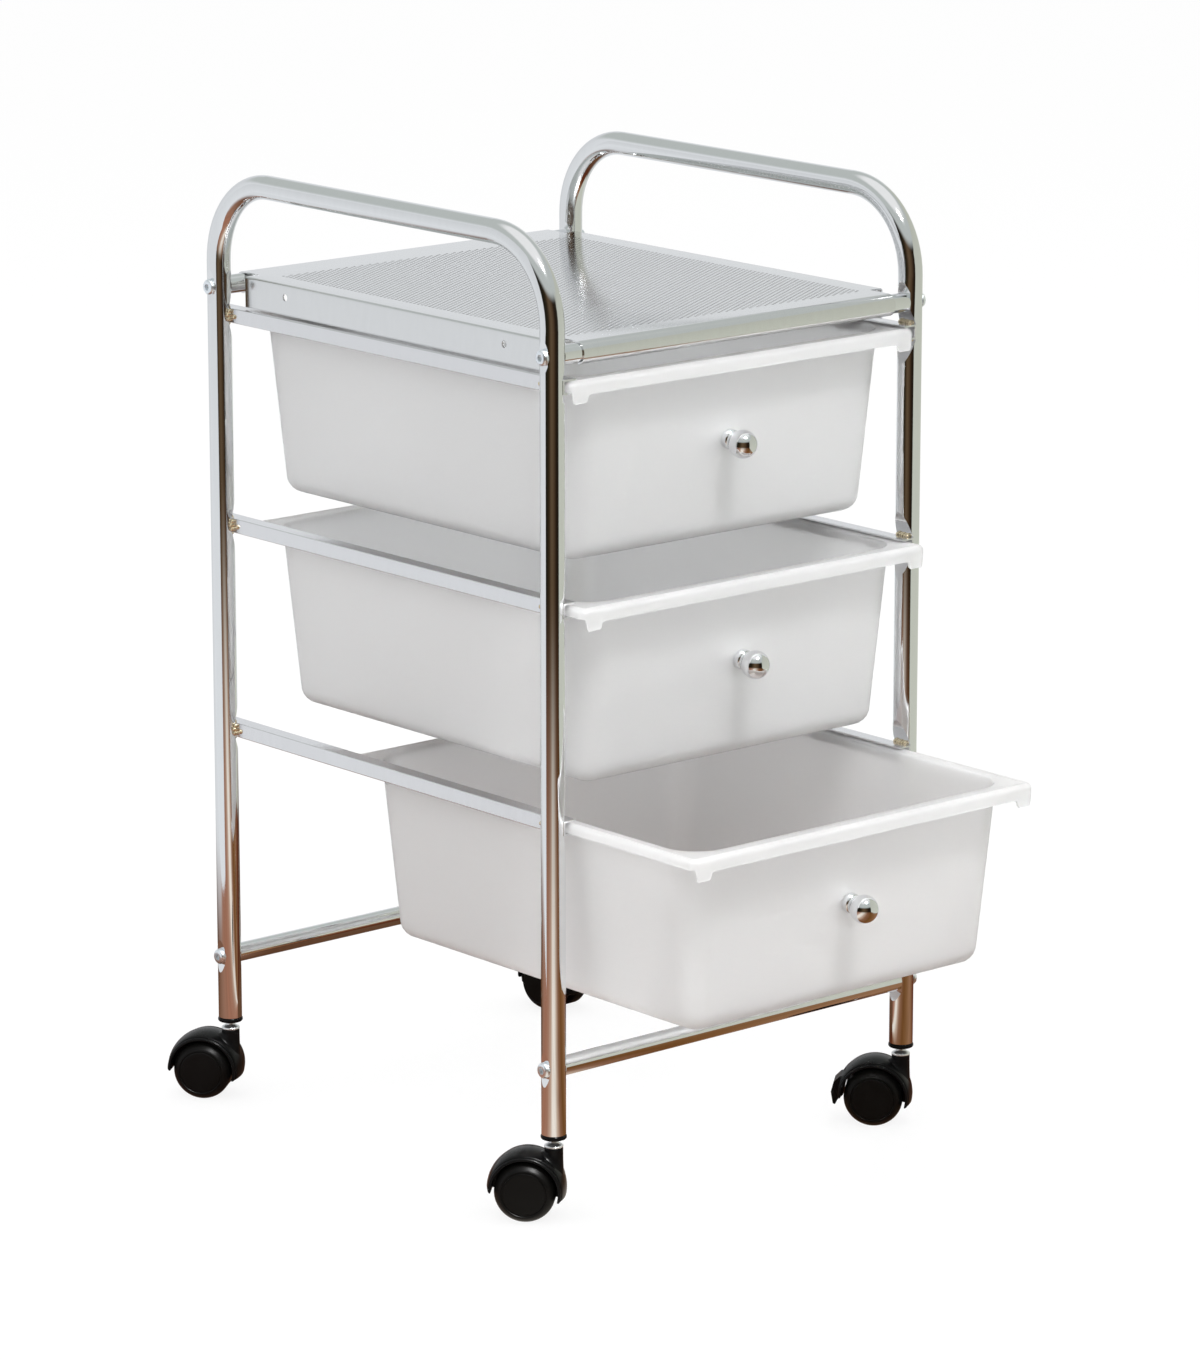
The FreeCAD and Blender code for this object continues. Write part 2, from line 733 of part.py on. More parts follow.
def on_drawer_front(body, level, out, depth):
    """Turn a body's +Z to the normal of a drawer's front wall, depth behind it."""
    slope = "tan(bin_draft * 1 deg)"
    wall = "bin_front + knob_drop * %s" % slope
    place(
        body,
        y="%s - (%s) + (%s) * cos(bin_draft * 1 deg)" % (wall, out, depth),
        z="%s - rim_drop - knob_drop + (%s) * sin(bin_draft * 1 deg)" % (level, depth),
        angle="90 + bin_draft",
        axis=Vector(1, 0, 0),
    )


def knob(label, level, out):
    """Ball knob on a collar, with a blind thread in its foot."""
    body = new_body(label)
    section = new_sketch(body, "XZ_Plane", "HalfSection")
    neck = "sqrt(knob_ball_radius ^ 2 - knob_waist_radius ^ 2)"
    thread = "screw_radius + thread_gap"
    draw(
        section,
        [
            (thread, "0"),
            ("knob_collar_radius", "0"),
            ("knob_collar_radius", "knob_collar_length - 1"),
            ("knob_waist_radius + 0.4", "knob_collar_length + 1"),
            ("knob_waist_radius", "knob_ball_reach - %s" % neck, "knob_ball_radius"),
            ("0", "knob_ball_reach + knob_ball_radius"),
            ("0", "knob_thread_depth"),
            (thread, "knob_thread_depth"),
        ],
    )
    turn(body, "Turned", section)
    on_drawer_front(body, level, out, "0")


def knob_screw(label, level, out):
    """Pan-head screw from inside the drawer into the knob."""
    body = new_body(label)
    section = new_sketch(body, "XZ_Plane", "HalfSection")
    draw(
        section,
        [
            ("0", "-screw_head_height"),
            ("screw_head_radius - 1.2", "-screw_head_height", "screw_head_height"),
            ("screw_head_radius", "-0.6"),
            ("screw_head_radius", "0"),
            ("screw_radius", "0"),
            ("screw_radius", "screw_length"),
            ("0", "screw_length"),
        ],
    )
    turn(body, "Turned", section)
    on_drawer_front(body, level, out, "bin_wall")


def leg_plug(label, x, y):
    """Black sleeve pressed into a leg, with the bore that the stem turns in."""
    body = new_body(label)
    section = new_sketch(body, "XZ_Plane", "HalfSection")
    bore = "stem_radius + stem_fit"
    flange = "foot_level - plug_flange"
    draw(
        section,
        [
            (bore, flange),
            ("plug_flange_radius - 0.6", flange),
            ("plug_flange_radius", "%s + 0.6" % flange),
            ("plug_flange_radius", "foot_level - 0.4"),
            ("plug_flange_radius - 0.4", "foot_level"),
            ("leg_radius - leg_wall", "foot_level"),
            ("leg_radius - leg_wall", "foot_level + plug_length"),
            ("0", "foot_level + plug_length"),
            ("0", "stem_top_level + stem_end_gap"),
            (bore, "stem_top_level + stem_end_gap"),
        ],
    )
    turn(body, "Turned", section)
    place(body, x=x, y=y)


def stem(label, x, y):
    """Chromed stem: pin into the leg, domed collar, shank in the hood's neck."""
    body = new_body(label)
    section = new_sketch(body, "XZ_Plane", "HalfSection")
    draw(
        section,
        [
            ("0", "stem_foot_level"),
            ("stem_radius", "stem_foot_level"),
            ("stem_radius", "collar_level"),
            ("collar_radius", "collar_level"),
            ("collar_radius", "collar_level + 0.8"),
            ("stem_radius + 1.4", "collar_level + collar_height - 0.4"),
            ("stem_radius", "collar_level + collar_height"),
            ("stem_radius", "stem_top_level - 1"),
            ("stem_radius - 1", "stem_top_level"),
            ("0", "stem_top_level"),
        ],
    )
    turn(body, "Turned", section)
    place(body, x=x, y=y)


def at_axle(body, x, y, swivel):
    """Place a body that is drawn about its wheel axle, trailing along its +X."""
    heading = "%s * 1 deg" % swivel
    place(
        body,
        x="%s + trail * cos(%s)" % (x, heading),
        y="%s + trail * sin(%s)" % (y, heading),
        z="axle_level",
        angle=swivel,
    )


# Outlines of a brake lever and its slot: beyond the wheels' room, above the axle.
LEVER_SIDE = (
    (-0.4, -0.4),
    (3.2, -3.6),
    (5.0, -7.2),
    (6.6, -6.6),
    (8.0, 1.6),
    (6.2, 8.4),
    (2.0, 12.6),
    (-1.6, 12.9),
    (-2.8, 10.4),
    (-2.1, 8.0),
    (-0.8, 4.0),
)
LEVER_SLOT = (
    (-1.1, -12.0),
    (9.0, -12.0),
    (9.0, 14.6),
    (-2.8, 14.6),
    (-3.4, 10.4),
    (-2.6, 7.8),
    (-1.4, 4.0),
    (-1.05, -0.4),
)


def beyond_room(outline):
    """Points of an outline, from the hood's inner radius and the axle."""
    return [("hood_inner_radius + (%s)" % out, str(up)) for out, up in outline]


def hood(label, x, y, swivel, braked):
    """Arched hood over both wheels, with a web between them and a stem boss."""
    body = new_body(label)
    section = new_sketch(body, "YZ_Plane", "Crown")
    rise = "(hood_crown_radius - hood_edge_radius)"
    crown = "(hood_half_width ^ 2 + %s ^ 2) / (2 * %s)" % (rise, rise)
    draw(
        section,
        [
            ("-hood_half_width", "0"),
            ("hood_half_width", "0"),
            ("hood_half_width", "hood_edge_radius", crown),
            ("-hood_half_width", "hood_edge_radius"),
        ],
    )
    feature(
        body,
        "Revolution",
        "Arch",
        section,
        ReferenceAxis=(section, ["H_Axis"]),
        Type="TwoAngles",
        Angle="hood_trailing_reach",
        Angle2="hood_leading_reach",
    )
    boss = body.newObject("Sketcher::SketchObject", "Boss")
    boss.AttachmentSupport = [(datum(body, "XZ_Plane"), "")]
    boss.MapMode = "FlatFace"
    boss.setExpression("AttachmentOffset.Base.x", full("-trail"))
    draw(
        boss,
        [
            ("0", "boss_foot"),
            ("boss_radius", "boss_foot"),
            ("boss_radius", "boss_shoulder"),
            ("neck_radius", "neck_foot"),
            ("neck_radius", "neck_top - 0.8"),
            ("neck_radius - 0.5", "neck_top"),
            ("0", "neck_top"),
        ],
    )
    turn(body, "BossTurned", boss)
    hub = new_sketch(body, "XZ_Plane", "Hub")
    draw_circle(hub, "0", "0", "hood_hub_radius")
    feature(body, "Pad", "HubDisc", hub, Length="2 * hood_web_half", Midplane=True)
    room = new_sketch(body, "YZ_Plane", "WheelRoom")
    for sign in ("1", "-1"):
        near = "%s * hood_web_half" % sign
        far = "%s * (hood_half_width + 4)" % sign
        draw(
            room,
            [(near, "0"), (far, "0"), (far, "hood_inner_radius"), (near, "hood_inner_radius")],
        )
    turn(body, "WheelRoomCut", room, "H_Axis", "Groove")
    bores = new_sketch(body, "XZ_Plane", "AxleBore")
    draw_circle(bores, "0", "0", "axle_radius")
    feature(body, "Pocket", "AxleBored", bores, Length="4 * hood_web_half", Midplane=True)
    shank = body.newObject("Sketcher::SketchObject", "StemBore")
    shank.AttachmentSupport = [(datum(body, "XZ_Plane"), "")]
    shank.MapMode = "FlatFace"
    shank.setExpression("AttachmentOffset.Base.x", full("-trail"))
    draw(
        shank,
        [
            ("0", "stem_foot_level - axle_level"),
            ("stem_radius", "stem_foot_level - axle_level"),
            ("stem_radius", "neck_top + 1"),
            ("0", "neck_top + 1"),
        ],
    )
    turn(body, "StemBored", shank, "V_Axis", "Groove")
    if braked:
        slot = new_sketch(body, "XZ_Plane", "LeverSlot")
        draw(slot, beyond_room(LEVER_SLOT))
        width = "2 * (lever_half_width + lever_slot_gap)"
        feature(body, "Pocket", "LeverSlotCut", slot, Length=width, Midplane=True)
        pivot = new_sketch(body, "XZ_Plane", "LeverPivot")
        draw_circle(pivot, "lever_pin_x", "lever_pin_rise", "lever_pin_radius + lever_pin_fit")
        reach = "2 * (lever_half_width + lever_pin_reach + 0.4)"
        feature(body, "Pocket", "LeverPivotBored", pivot, Length=reach, Midplane=True)
    at_axle(body, x, y, swivel)


def axle(label, x, y, swivel):
    """Steel pin pressed through the hood's web."""
    body = new_body(label)
    section = new_sketch(body, "XZ_Plane", "Round")
    draw_circle(section, "0", "0", "axle_radius")
    feature(body, "Pad", "Pin", section, Length="2 * axle_half", Midplane=True)
    at_axle(body, x, y, swivel)


def wheel(label, x, y, swivel, side):
    """Wheel with a rounded tread edge and a shallow dished face."""
    body = new_body(label)
    section = new_sketch(body, "YZ_Plane", "HalfSection")
    bore = "axle_radius + axle_fit"
    dish = "wheel_outer - wheel_face_recess"
    outline = [
        ("wheel_inner", bore),
        ("axle_half + axle_end_gap", bore),
        ("axle_half + axle_end_gap", "0"),
        (dish, "0"),
        (dish, "wheel_face_radius"),
        ("wheel_outer", "wheel_face_radius + wheel_face_recess"),
        ("wheel_outer", "wheel_radius - wheel_round", "wheel_round"),
        ("wheel_outer - wheel_round", "wheel_radius"),
        ("wheel_inner + 1", "wheel_radius"),
        ("wheel_inner", "wheel_radius - 1"),
    ]
    draw(section, outline)
    turn(body, "Turned", section, "H_Axis")
    at_axle(body, x, y, swivel)
    if side < 0:
        body.setExpression("Placement.Rotation.Angle", "(%s + 180) * 1 deg" % full(swivel))


def brake_lever(label, x, y, swivel):
    """Grooved lever on its own pin stubs, in the slot at the hood's tail."""
    body = new_body(label)
    section = new_sketch(body, "XZ_Plane", "SideProfile")
    draw(section, beyond_room(LEVER_SIDE))
    feature(body, "Pad", "Plate", section, Length="2 * lever_half_width", Midplane=True)
    pin = new_sketch(body, "XZ_Plane", "Pins")
    draw_circle(pin, "lever_pin_x", "lever_pin_rise", "lever_pin_radius")
    length = "2 * (lever_half_width + lever_pin_reach)"
    feature(body, "Pad", "PinStubs", pin, Length=length, Midplane=True)
    grooves = new_sketch(body, "XY_Plane", "Grooves", "-9")
    near = "hood_inner_radius + 5.6"
    far = "hood_inner_radius + 11"
    for place_in_row in (-1.5, -0.5, 0.5, 1.5):
        low = "%s * lever_groove_pitch - lever_groove_half" % place_in_row
        high = "%s * lever_groove_pitch + lever_groove_half" % place_in_row
        draw(grooves, [(near, low), (far, low), (far, high), (near, high)])
    feature(body, "Pocket", "Grooved", grooves, Length="18", Reversed=True)
    at_axle(body, x, y, swivel)


side_frame("left_side_frame", "-half_track", "0")
side_frame("right_side_frame", "half_track", "180")

for storey, level in zip(("top", "middle", "bottom"), RAIL_LEVELS):
    rail("left_%s_rail" % storey, "-(rail_web)", level, "0")
    rail("right_%s_rail" % storey, "rail_web", level, "180")
    weld_beads("%s_rail_welds" % storey, level)

for name, y, level in (
    ("front_top_cross_tube", "-half_depth", "cross_top_level"),
    ("rear_top_cross_tube", "half_depth", "cross_top_level"),
    ("front_bottom_cross_tube", "-half_depth", "cross_low_level"),
    ("rear_bottom_cross_tube", "half_depth", "cross_low_level"),
):
    cross_tube(name, y, level)

TUBE_END = "half_track - leg_radius + tube_press"
HEAD_SEAT = "half_track + leg_radius - bolt_press"
at_tube_ends(
    "threaded_inserts",
    [
        ("%s - insert_length" % TUBE_END, "bolt_radius + thread_gap"),
        (TUBE_END, "bolt_radius + thread_gap"),
        (TUBE_END, "cross_radius - cross_wall"),
        ("%s - insert_length" % TUBE_END, "cross_radius - cross_wall"),
    ],
)
at_tube_ends(
    "frame_bolts",
    [
        ("%s - bolt_length" % HEAD_SEAT, "0"),
        ("%s + bolt_head_height" % HEAD_SEAT, "0"),
        ("%s + bolt_head_height" % HEAD_SEAT, "bolt_head_radius - 2.4"),
        ("%s + bolt_head_height - 0.9" % HEAD_SEAT, "bolt_head_radius - 0.8"),
        ("%s + 0.9" % HEAD_SEAT, "bolt_head_radius"),
        (HEAD_SEAT, "bolt_head_radius"),
        (HEAD_SEAT, "bolt_radius"),
        ("%s - bolt_length" % HEAD_SEAT, "bolt_radius"),
    ],
)
top_shelf()

for storey, level in zip(("top", "middle", "bottom"), RAIL_LEVELS):
    out = "%s_drawer_out" % storey
    drawer("%s_drawer" % storey, level, out)
    knob("%s_knob" % storey, level, out)
    knob_screw("%s_knob_screw" % storey, level, out)

for corner, x, y, braked in (
    ("front_left", "-half_track", "-half_depth", False),
    ("front_right", "half_track", "-half_depth", True),
    ("rear_left", "-half_track", "half_depth", False),
    ("rear_right", "half_track", "half_depth", True),
):
    swivel = "swivel_" + corner
    leg_plug(corner + "_leg_plug", x, y)
    stem(corner + "_caster_stem", x, y)
    hood(corner + "_caster_hood", x, y, swivel, braked)
    axle(corner + "_caster_axle", x, y, swivel)
    wheel(corner + "_inner_wheel", x, y, swivel, 1)
    wheel(corner + "_outer_wheel", x, y, swivel, -1)
    if braked:
        brake_lever(corner + "_brake_lever", x, y, swivel)

doc.recompute()

for item in doc.Objects:
    if "Invalid" in item.State or "Error" in item.State:
        raise RuntimeError("%s failed: %s" % (item.Label, item.State))

os.makedirs("parts", exist_ok=True)
for body in PARTS:
    shape = body.Shape
    if shape.isNull() or not shape.isValid() or not shape.Solids:
        raise RuntimeError("%s has no valid solid" % body.Label)
    shape.exportStep("parts/%s.step" % body.Label)
    box = shape.BoundBox
    print(
        "%-28s solids %2d volume %10.1f  z %7.1f to %7.1f"
        % (body.Label, len(shape.Solids), shape.Volume, box.ZMin, box.ZMax)
    )
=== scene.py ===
"""Rolling storage cart: looks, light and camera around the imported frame."""

import logging
import math
from dataclasses import dataclass, field
from enum import Enum
from typing import Any, Iterable, Sequence

import bmesh
import bpy
from mathutils import Matrix, Vector

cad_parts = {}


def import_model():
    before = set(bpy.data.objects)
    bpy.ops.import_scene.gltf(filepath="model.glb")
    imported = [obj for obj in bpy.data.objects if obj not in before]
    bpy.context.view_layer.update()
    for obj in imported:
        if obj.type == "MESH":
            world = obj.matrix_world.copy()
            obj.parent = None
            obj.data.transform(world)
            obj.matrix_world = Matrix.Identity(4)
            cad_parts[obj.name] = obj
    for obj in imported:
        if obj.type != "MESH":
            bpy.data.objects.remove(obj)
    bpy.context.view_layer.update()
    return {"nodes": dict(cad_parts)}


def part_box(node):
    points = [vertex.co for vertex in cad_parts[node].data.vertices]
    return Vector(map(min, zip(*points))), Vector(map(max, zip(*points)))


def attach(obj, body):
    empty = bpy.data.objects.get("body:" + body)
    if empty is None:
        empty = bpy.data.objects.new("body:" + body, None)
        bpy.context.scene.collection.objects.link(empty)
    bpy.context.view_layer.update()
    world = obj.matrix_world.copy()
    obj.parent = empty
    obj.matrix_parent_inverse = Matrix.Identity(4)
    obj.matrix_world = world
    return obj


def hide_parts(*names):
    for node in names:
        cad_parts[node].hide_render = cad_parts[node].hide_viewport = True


log = logging.getLogger("cart")

Colour = tuple[float, float, float]
Point = Sequence[float]
Section = tuple[tuple[float, float], ...]
Bands = tuple[tuple[float, Colour], ...]
LinkOrValue = Any


class Socket:
    """A node's output socket that can be used in Python expressions."""

    def __init__(self, tree: bpy.types.NodeTree, socket: bpy.types.NodeSocket) -> None:
        """Wrap an output socket of a node tree."""
        self.tree = tree
        self.socket = socket

    def _math(self, operation: str, first: LinkOrValue, second: LinkOrValue) -> "Socket":
        """Add a Math node.

        Args:
            operation: the Math node's operation.
            first: number or socket of the first input.
            second: number or socket of the second input.

        Returns:
            The node's result.
        """
        node = self.tree.nodes.new("ShaderNodeMath")
        node.operation = operation
        for index, entry in enumerate((first, second)):
            if isinstance(entry, Socket):
                self.tree.links.new(entry.socket, node.inputs[index])
            else:
                node.inputs[index].default_value = float(entry)
        return Socket(self.tree, node.outputs[0])

    def __add__(self, other: LinkOrValue) -> "Socket":
        """Sum."""
        return self._math("ADD", self, other)

    def __radd__(self, other: LinkOrValue) -> "Socket":
        """Sum, from the right."""
        return self._math("ADD", other, self)

    def __sub__(self, other: LinkOrValue) -> "Socket":
        """Difference."""
        return self._math("SUBTRACT", self, other)

    def __rsub__(self, other: LinkOrValue) -> "Socket":
        """Difference, from the right."""
        return self._math("SUBTRACT", other, self)

    def __mul__(self, other: LinkOrValue) -> "Socket":
        """Product."""
        return self._math("MULTIPLY", self, other)

    def __rmul__(self, other: LinkOrValue) -> "Socket":
        """Product, from the right."""
        return self._math("MULTIPLY", other, self)

    def __truediv__(self, other: LinkOrValue) -> "Socket":
        """Quotient."""
        return self._math("DIVIDE", self, other)

    def __rtruediv__(self, other: LinkOrValue) -> "Socket":
        """Quotient, from the right."""
        return self._math("DIVIDE", other, self)

    def __pow__(self, exponent: LinkOrValue) -> "Socket":
        """Power."""
        return self._math("POWER", self, exponent)


class Shader:
    """Node tree of one material or world, with one way to add nodes."""

    def __init__(self, owner: bpy.types.Material | bpy.types.World) -> None:
        """Clear the owner's node tree.

        Args:
            owner: the material or world to write.
        """
        owner.use_nodes = True
        self.tree = owner.node_tree
        self.tree.nodes.clear()
        self.end = "OutputWorld" if isinstance(owner, bpy.types.World) else "OutputMaterial"

    def add(
        self,
        kind: str,
        settings: dict[str, Any] | None = None,
        inputs: dict[str | int, LinkOrValue] | None = None,
    ) -> bpy.types.Node:
        """Add a node.

        Args:
            kind: node type without its ShaderNode prefix.
            settings: the node's own properties, or ramp stops under "stops".
            inputs: values or sockets by input name or index.

        Returns:
            The node.
        """
        item = self.tree.nodes.new("ShaderNode" + kind)
        for name, setting in (settings or {}).items():
            if name == "stops":
                self._stops(item, setting)
            else:
                setattr(item, name, setting)
        for name, entry in (inputs or {}).items():
            if isinstance(entry, Socket):
                self.tree.links.new(entry.socket, item.inputs[name])
            elif item.inputs[name].type == "RGBA":
                item.inputs[name].default_value = (*entry, 1.0)
            else:
                item.inputs[name].default_value = entry
        return item

    @staticmethod
    def _stops(item: bpy.types.Node, stops: Sequence[tuple[float, Colour]]) -> None:
        """Write a colour ramp's stops.

        Args:
            item: the ramp node.
            stops: position and colour of each stop.
        """
        elements = item.color_ramp.elements
        while len(elements) < len(stops):
            elements.new(0.5)
        for element, (position, colour) in zip(elements, stops):
            element.position = position
            element.color = (*colour, 1.0)

    def node(
        self,
        kind: str,
        settings: dict[str, Any] | None = None,
        inputs: dict[str | int, LinkOrValue] | None = None,
        output: str | int = 0,
    ) -> Socket:
        """Add a node, as add does, and take one of its outputs by name or index."""
        return Socket(self.tree, self.add(kind, settings, inputs).outputs[output])

    def mix(self, factor: LinkOrValue, low: LinkOrValue, high: LinkOrValue) -> Socket:
        """Mix two colours: low at a factor of 0, high at 1."""
        return self.node("Mix", {"data_type": "RGBA"}, {0: factor, 6: low, 7: high}, 2)

    def parts(self, vector: Socket) -> tuple[Socket, ...]:
        """X, Y and Z of a vector."""
        item = self.add("SeparateXYZ", inputs={0: vector})
        return tuple(Socket(self.tree, output) for output in item.outputs)

    def fade(self, value: Socket, start: LinkOrValue, end: LinkOrValue) -> Socket:
        """Smooth step of a value, from 0 at the start to 1 at the end."""
        inputs = {0: value, 1: start, 2: end, 3: 0.0, 4: 1.0}
        return self.node("MapRange", {"interpolation_type": "SMOOTHSTEP"}, inputs)

    def ray(self, kind: str) -> Socket:
        """One for rays of a kind, such as Camera, else nought."""
        return self.node("LightPath", output=f"Is {kind} Ray")

    def glow(self, colour: LinkOrValue) -> Socket:
        """Emission of a colour at a strength of 1."""
        return self.node("Emission", inputs={"Color": colour, "Strength": 1.0})

    def place(self) -> Socket:
        """Object coordinates, in metres."""
        return self.node("TexCoord", output="Object")

    def noise(self, scale: float, detail: float, stretch: Colour = (1, 1, 1)) -> Socket:
        """Noise about 0.5 of a scale per metre, with octaves and a stretch by axis."""
        spot = self.node("Mapping", inputs={"Vector": self.place(), "Scale": stretch})
        return self.node("TexNoise", inputs={"Vector": spot, "Scale": scale, "Detail": detail})

    def bump(self, height: Socket, distance: float, strength: float) -> Socket:
        """Normal of a height from 0 to 1, with its depth in metres and its share."""
        inputs = {"Height": height, "Distance": distance, "Strength": strength}
        return self.node("Bump", inputs=inputs)

    def finish(self, shader: Socket) -> None:
        """Link a shader to the tree's output."""
        self.add(self.end, inputs={"Surface": shader})


def shaded(colour: Colour, share: float, lift: float = 0.0) -> Colour:
    """A colour times a share, plus a lift."""
    return tuple(part * share + lift for part in colour)


@dataclass(frozen=True)
class Coat:
    """What all finishes share.

    Args:
        name: material's name.
    """

    name: str

    def inputs(self, shader: Shader) -> dict[str, LinkOrValue]:
        """Inputs of the finish's Principled node, by name."""
        raise NotImplementedError

    def make(self) -> bpy.types.Material:
        """Build the material.

        Returns:
            The new material.
        """
        material = bpy.data.materials.new(self.name)
        shader = Shader(material)
        shader.finish(shader.node("BsdfPrincipled", inputs=self.inputs(shader)))
        return material


@dataclass(frozen=True)
class Chrome(Coat):
    """Mirror-plated steel with faint haze and handling marks.

    Args:
        tone: base colour.
        roughness: mean roughness.
        haze: how far smudges change it.
        ripple: depth of the surface's waviness, in metres.
        worn: share of the tone's light under handling marks.
        pitches: smudges, handling marks and waves per metre.
    """

    tone: Colour = (0.83, 0.84, 0.85)
    roughness: float = 0.05
    haze: float = 0.10
    ripple: float = 0.00002
    worn: float = 0.96
    pitches: tuple[float, float, float] = (28.0, 260.0, 90.0)

    def inputs(self, shader: Shader) -> dict[str, LinkOrValue]:
        """Inputs of the finish's Principled node.

        Args:
            shader: the nodes to add to.

        Returns:
            Values and sockets by input name.
        """
        smudge_pitch, mark_pitch, wave_pitch = self.pitches
        smudge = shader.noise(smudge_pitch, 4.0)
        marks = shader.noise(mark_pitch, 2.0, (1, 1, 0.25))
        haze = (smudge - 0.45) * self.haze + (marks - 0.5) * (self.haze * 0.35)
        return {
            "Base Color": shader.mix(marks, self.tone, shaded(self.tone, self.worn)),
            "Metallic": 1.0,
            "Roughness": haze + self.roughness,
            "Normal": shader.bump(shader.noise(wave_pitch, 2.0), self.ripple, 0.35),
        }


@dataclass(frozen=True)
class FrostedPlastic(Coat):
    """Translucent moulded polypropylene with a fine frosted grain.

    Args:
        tone: base colour.
        clear: share of light that passes through.
        roughness: mean roughness.
        grain: depth of the frost, in metres.
        cloud: share of the tone's light in the cloudy spots.
        density: index of refraction.
        pitches: clouds, frost grains and flow marks per metre.
    """

    tone: Colour = (0.97, 0.972, 0.975)
    clear: float = 0.74
    roughness: float = 0.50
    grain: float = 0.00003
    cloud: float = 0.965
    density: float = 1.49
    pitches: tuple[float, float, float] = (9.0, 2600.0, 30.0)

    def inputs(self, shader: Shader) -> dict[str, LinkOrValue]:
        """Inputs of the finish's Principled node.

        Args:
            shader: the nodes to add to.

        Returns:
            Values and sockets by input name.
        """
        cloud_pitch, frost_pitch, flow_pitch = self.pitches
        clouds = shader.noise(cloud_pitch, 3.0)
        frost = shader.noise(frost_pitch, 2.0)
        flow = shader.noise(flow_pitch, 3.0, (1, 1, 3))
        return {
            "Base Color": shader.mix(clouds, shaded(self.tone, self.cloud), self.tone),
            "Roughness": (flow - 0.5) * 0.12 + (frost - 0.5) * 0.06 + self.roughness,
            "IOR": self.density,
            "Transmission Weight": self.clear,
            "Normal": shader.bump(frost, self.grain, 0.25),
        }


@dataclass(frozen=True)
class Nylon(Coat):
    """Black moulded nylon, polished or lightly grained.

    Args:
        tone: base colour.
        roughness: mean roughness.
        grain: depth of the grain, in metres.
        pitch: grain per metre.
        gloss: specular level.
        scuffs: scuffs per metre.
    """

    tone: Colour = (0.0020, 0.0020, 0.0021)
    roughness: float = 0.28
    grain: float = 0.00004
    pitch: float = 1500.0
    gloss: float = 0.10
    scuffs: float = 45.0

    def inputs(self, shader: Shader) -> dict[str, LinkOrValue]:
        """Inputs of the finish's Principled node.

        Args:
            shader: the nodes to add to.

        Returns:
            Values and sockets by input name.
        """
        grain = shader.noise(self.pitch, 2.0)
        scuff = shader.noise(self.scuffs, 4.0)
        return {
            "Base Color": shader.mix(scuff, self.tone, shaded(self.tone, 1.9, 0.0006)),
            "Roughness": (scuff - 0.5) * 0.2 + self.roughness,
            "Specular IOR Level": self.gloss,
            "Normal": shader.bump(grain, self.grain, 0.5),
        }


@dataclass(frozen=True)
class PlainMetal(Coat):
    """Zinc-plated or weld metal, satin with a mottled tint.

    Args:
        tone: base colour.
        tint: second colour of the mottling.
        roughness: mean roughness.
        pitch: mottling per metre.
        depth: depth of the mottling, in metres.
    """

    tone: Colour
    tint: Colour
    roughness: float
    pitch: float = 420.0
    depth: float = 0.00003

    def inputs(self, shader: Shader) -> dict[str, LinkOrValue]:
        """Inputs of the finish's Principled node.

        Args:
            shader: the nodes to add to.

        Returns:
            Values and sockets by input name.
        """
        mottle = shader.noise(self.pitch, 3.0)
        return {
            "Base Color": shader.mix(mottle, self.tone, self.tint),
            "Metallic": 1.0,
            "Roughness": (mottle - 0.5) * 0.25 + self.roughness,
            "Normal": shader.bump(mottle, self.depth, 0.4),
        }


class Finish(Enum):
    """The cart's finishes."""

    TUBE = Chrome("tube chrome", roughness=0.045, haze=0.10)
    RAIL = Chrome("rail chrome", tone=(0.80, 0.80, 0.815), roughness=0.16, haze=0.12)
    SHEET = Chrome("shelf chrome", tone=(0.79, 0.795, 0.80), roughness=0.13, haze=0.10)
    KNOB = Chrome("knob chrome", roughness=0.03, haze=0.04, ripple=0.000005)
    STEM = PlainMetal("stem plating", (0.95, 0.97, 0.98), (0.88, 0.90, 0.92), 0.42, 900.0)
    ZINC = PlainMetal("bright zinc", (0.90, 0.94, 0.97), (0.80, 0.85, 0.90), 0.30)
    WELD = PlainMetal("weld bead", (0.86, 0.76, 0.54), (0.62, 0.52, 0.36), 0.24, 700.0)
    DRAWER = FrostedPlastic("frosted polypropylene")
    HOOD = Nylon("hood nylon")
    WHEEL = Nylon("wheel nylon", (0.0022, 0.0020, 0.0018), 0.36, 0.00008, 1500.0, 0.09)
    PLUG = Nylon("plug nylon", roughness=0.2)


class Palette:
    """Materials made once and shared."""

    def __init__(self) -> None:
        """Start with no materials."""
        self._made: dict[Finish, bpy.types.Material] = {}

    def dress(self, item: bpy.types.Object, finish: Finish) -> None:
        """Give an object one finish, built at its first use.

        Args:
            item: the object.
            finish: its finish.
        """
        if finish not in self._made:
            self._made[finish] = finish.value.make()
        item.data.materials.clear()
        item.data.materials.append(self._made[finish])


def linear(colour: Colour) -> Colour:
    """Linear light of a display colour.

    Args:
        colour: its parts, from 0 to 1.

    Returns:
        The same colour's parts in linear light.
    """
    return tuple(
        ((part + 0.055) / 1.055) ** 2.4 if part > 0.04045 else part / 12.92 for part in colour
    )


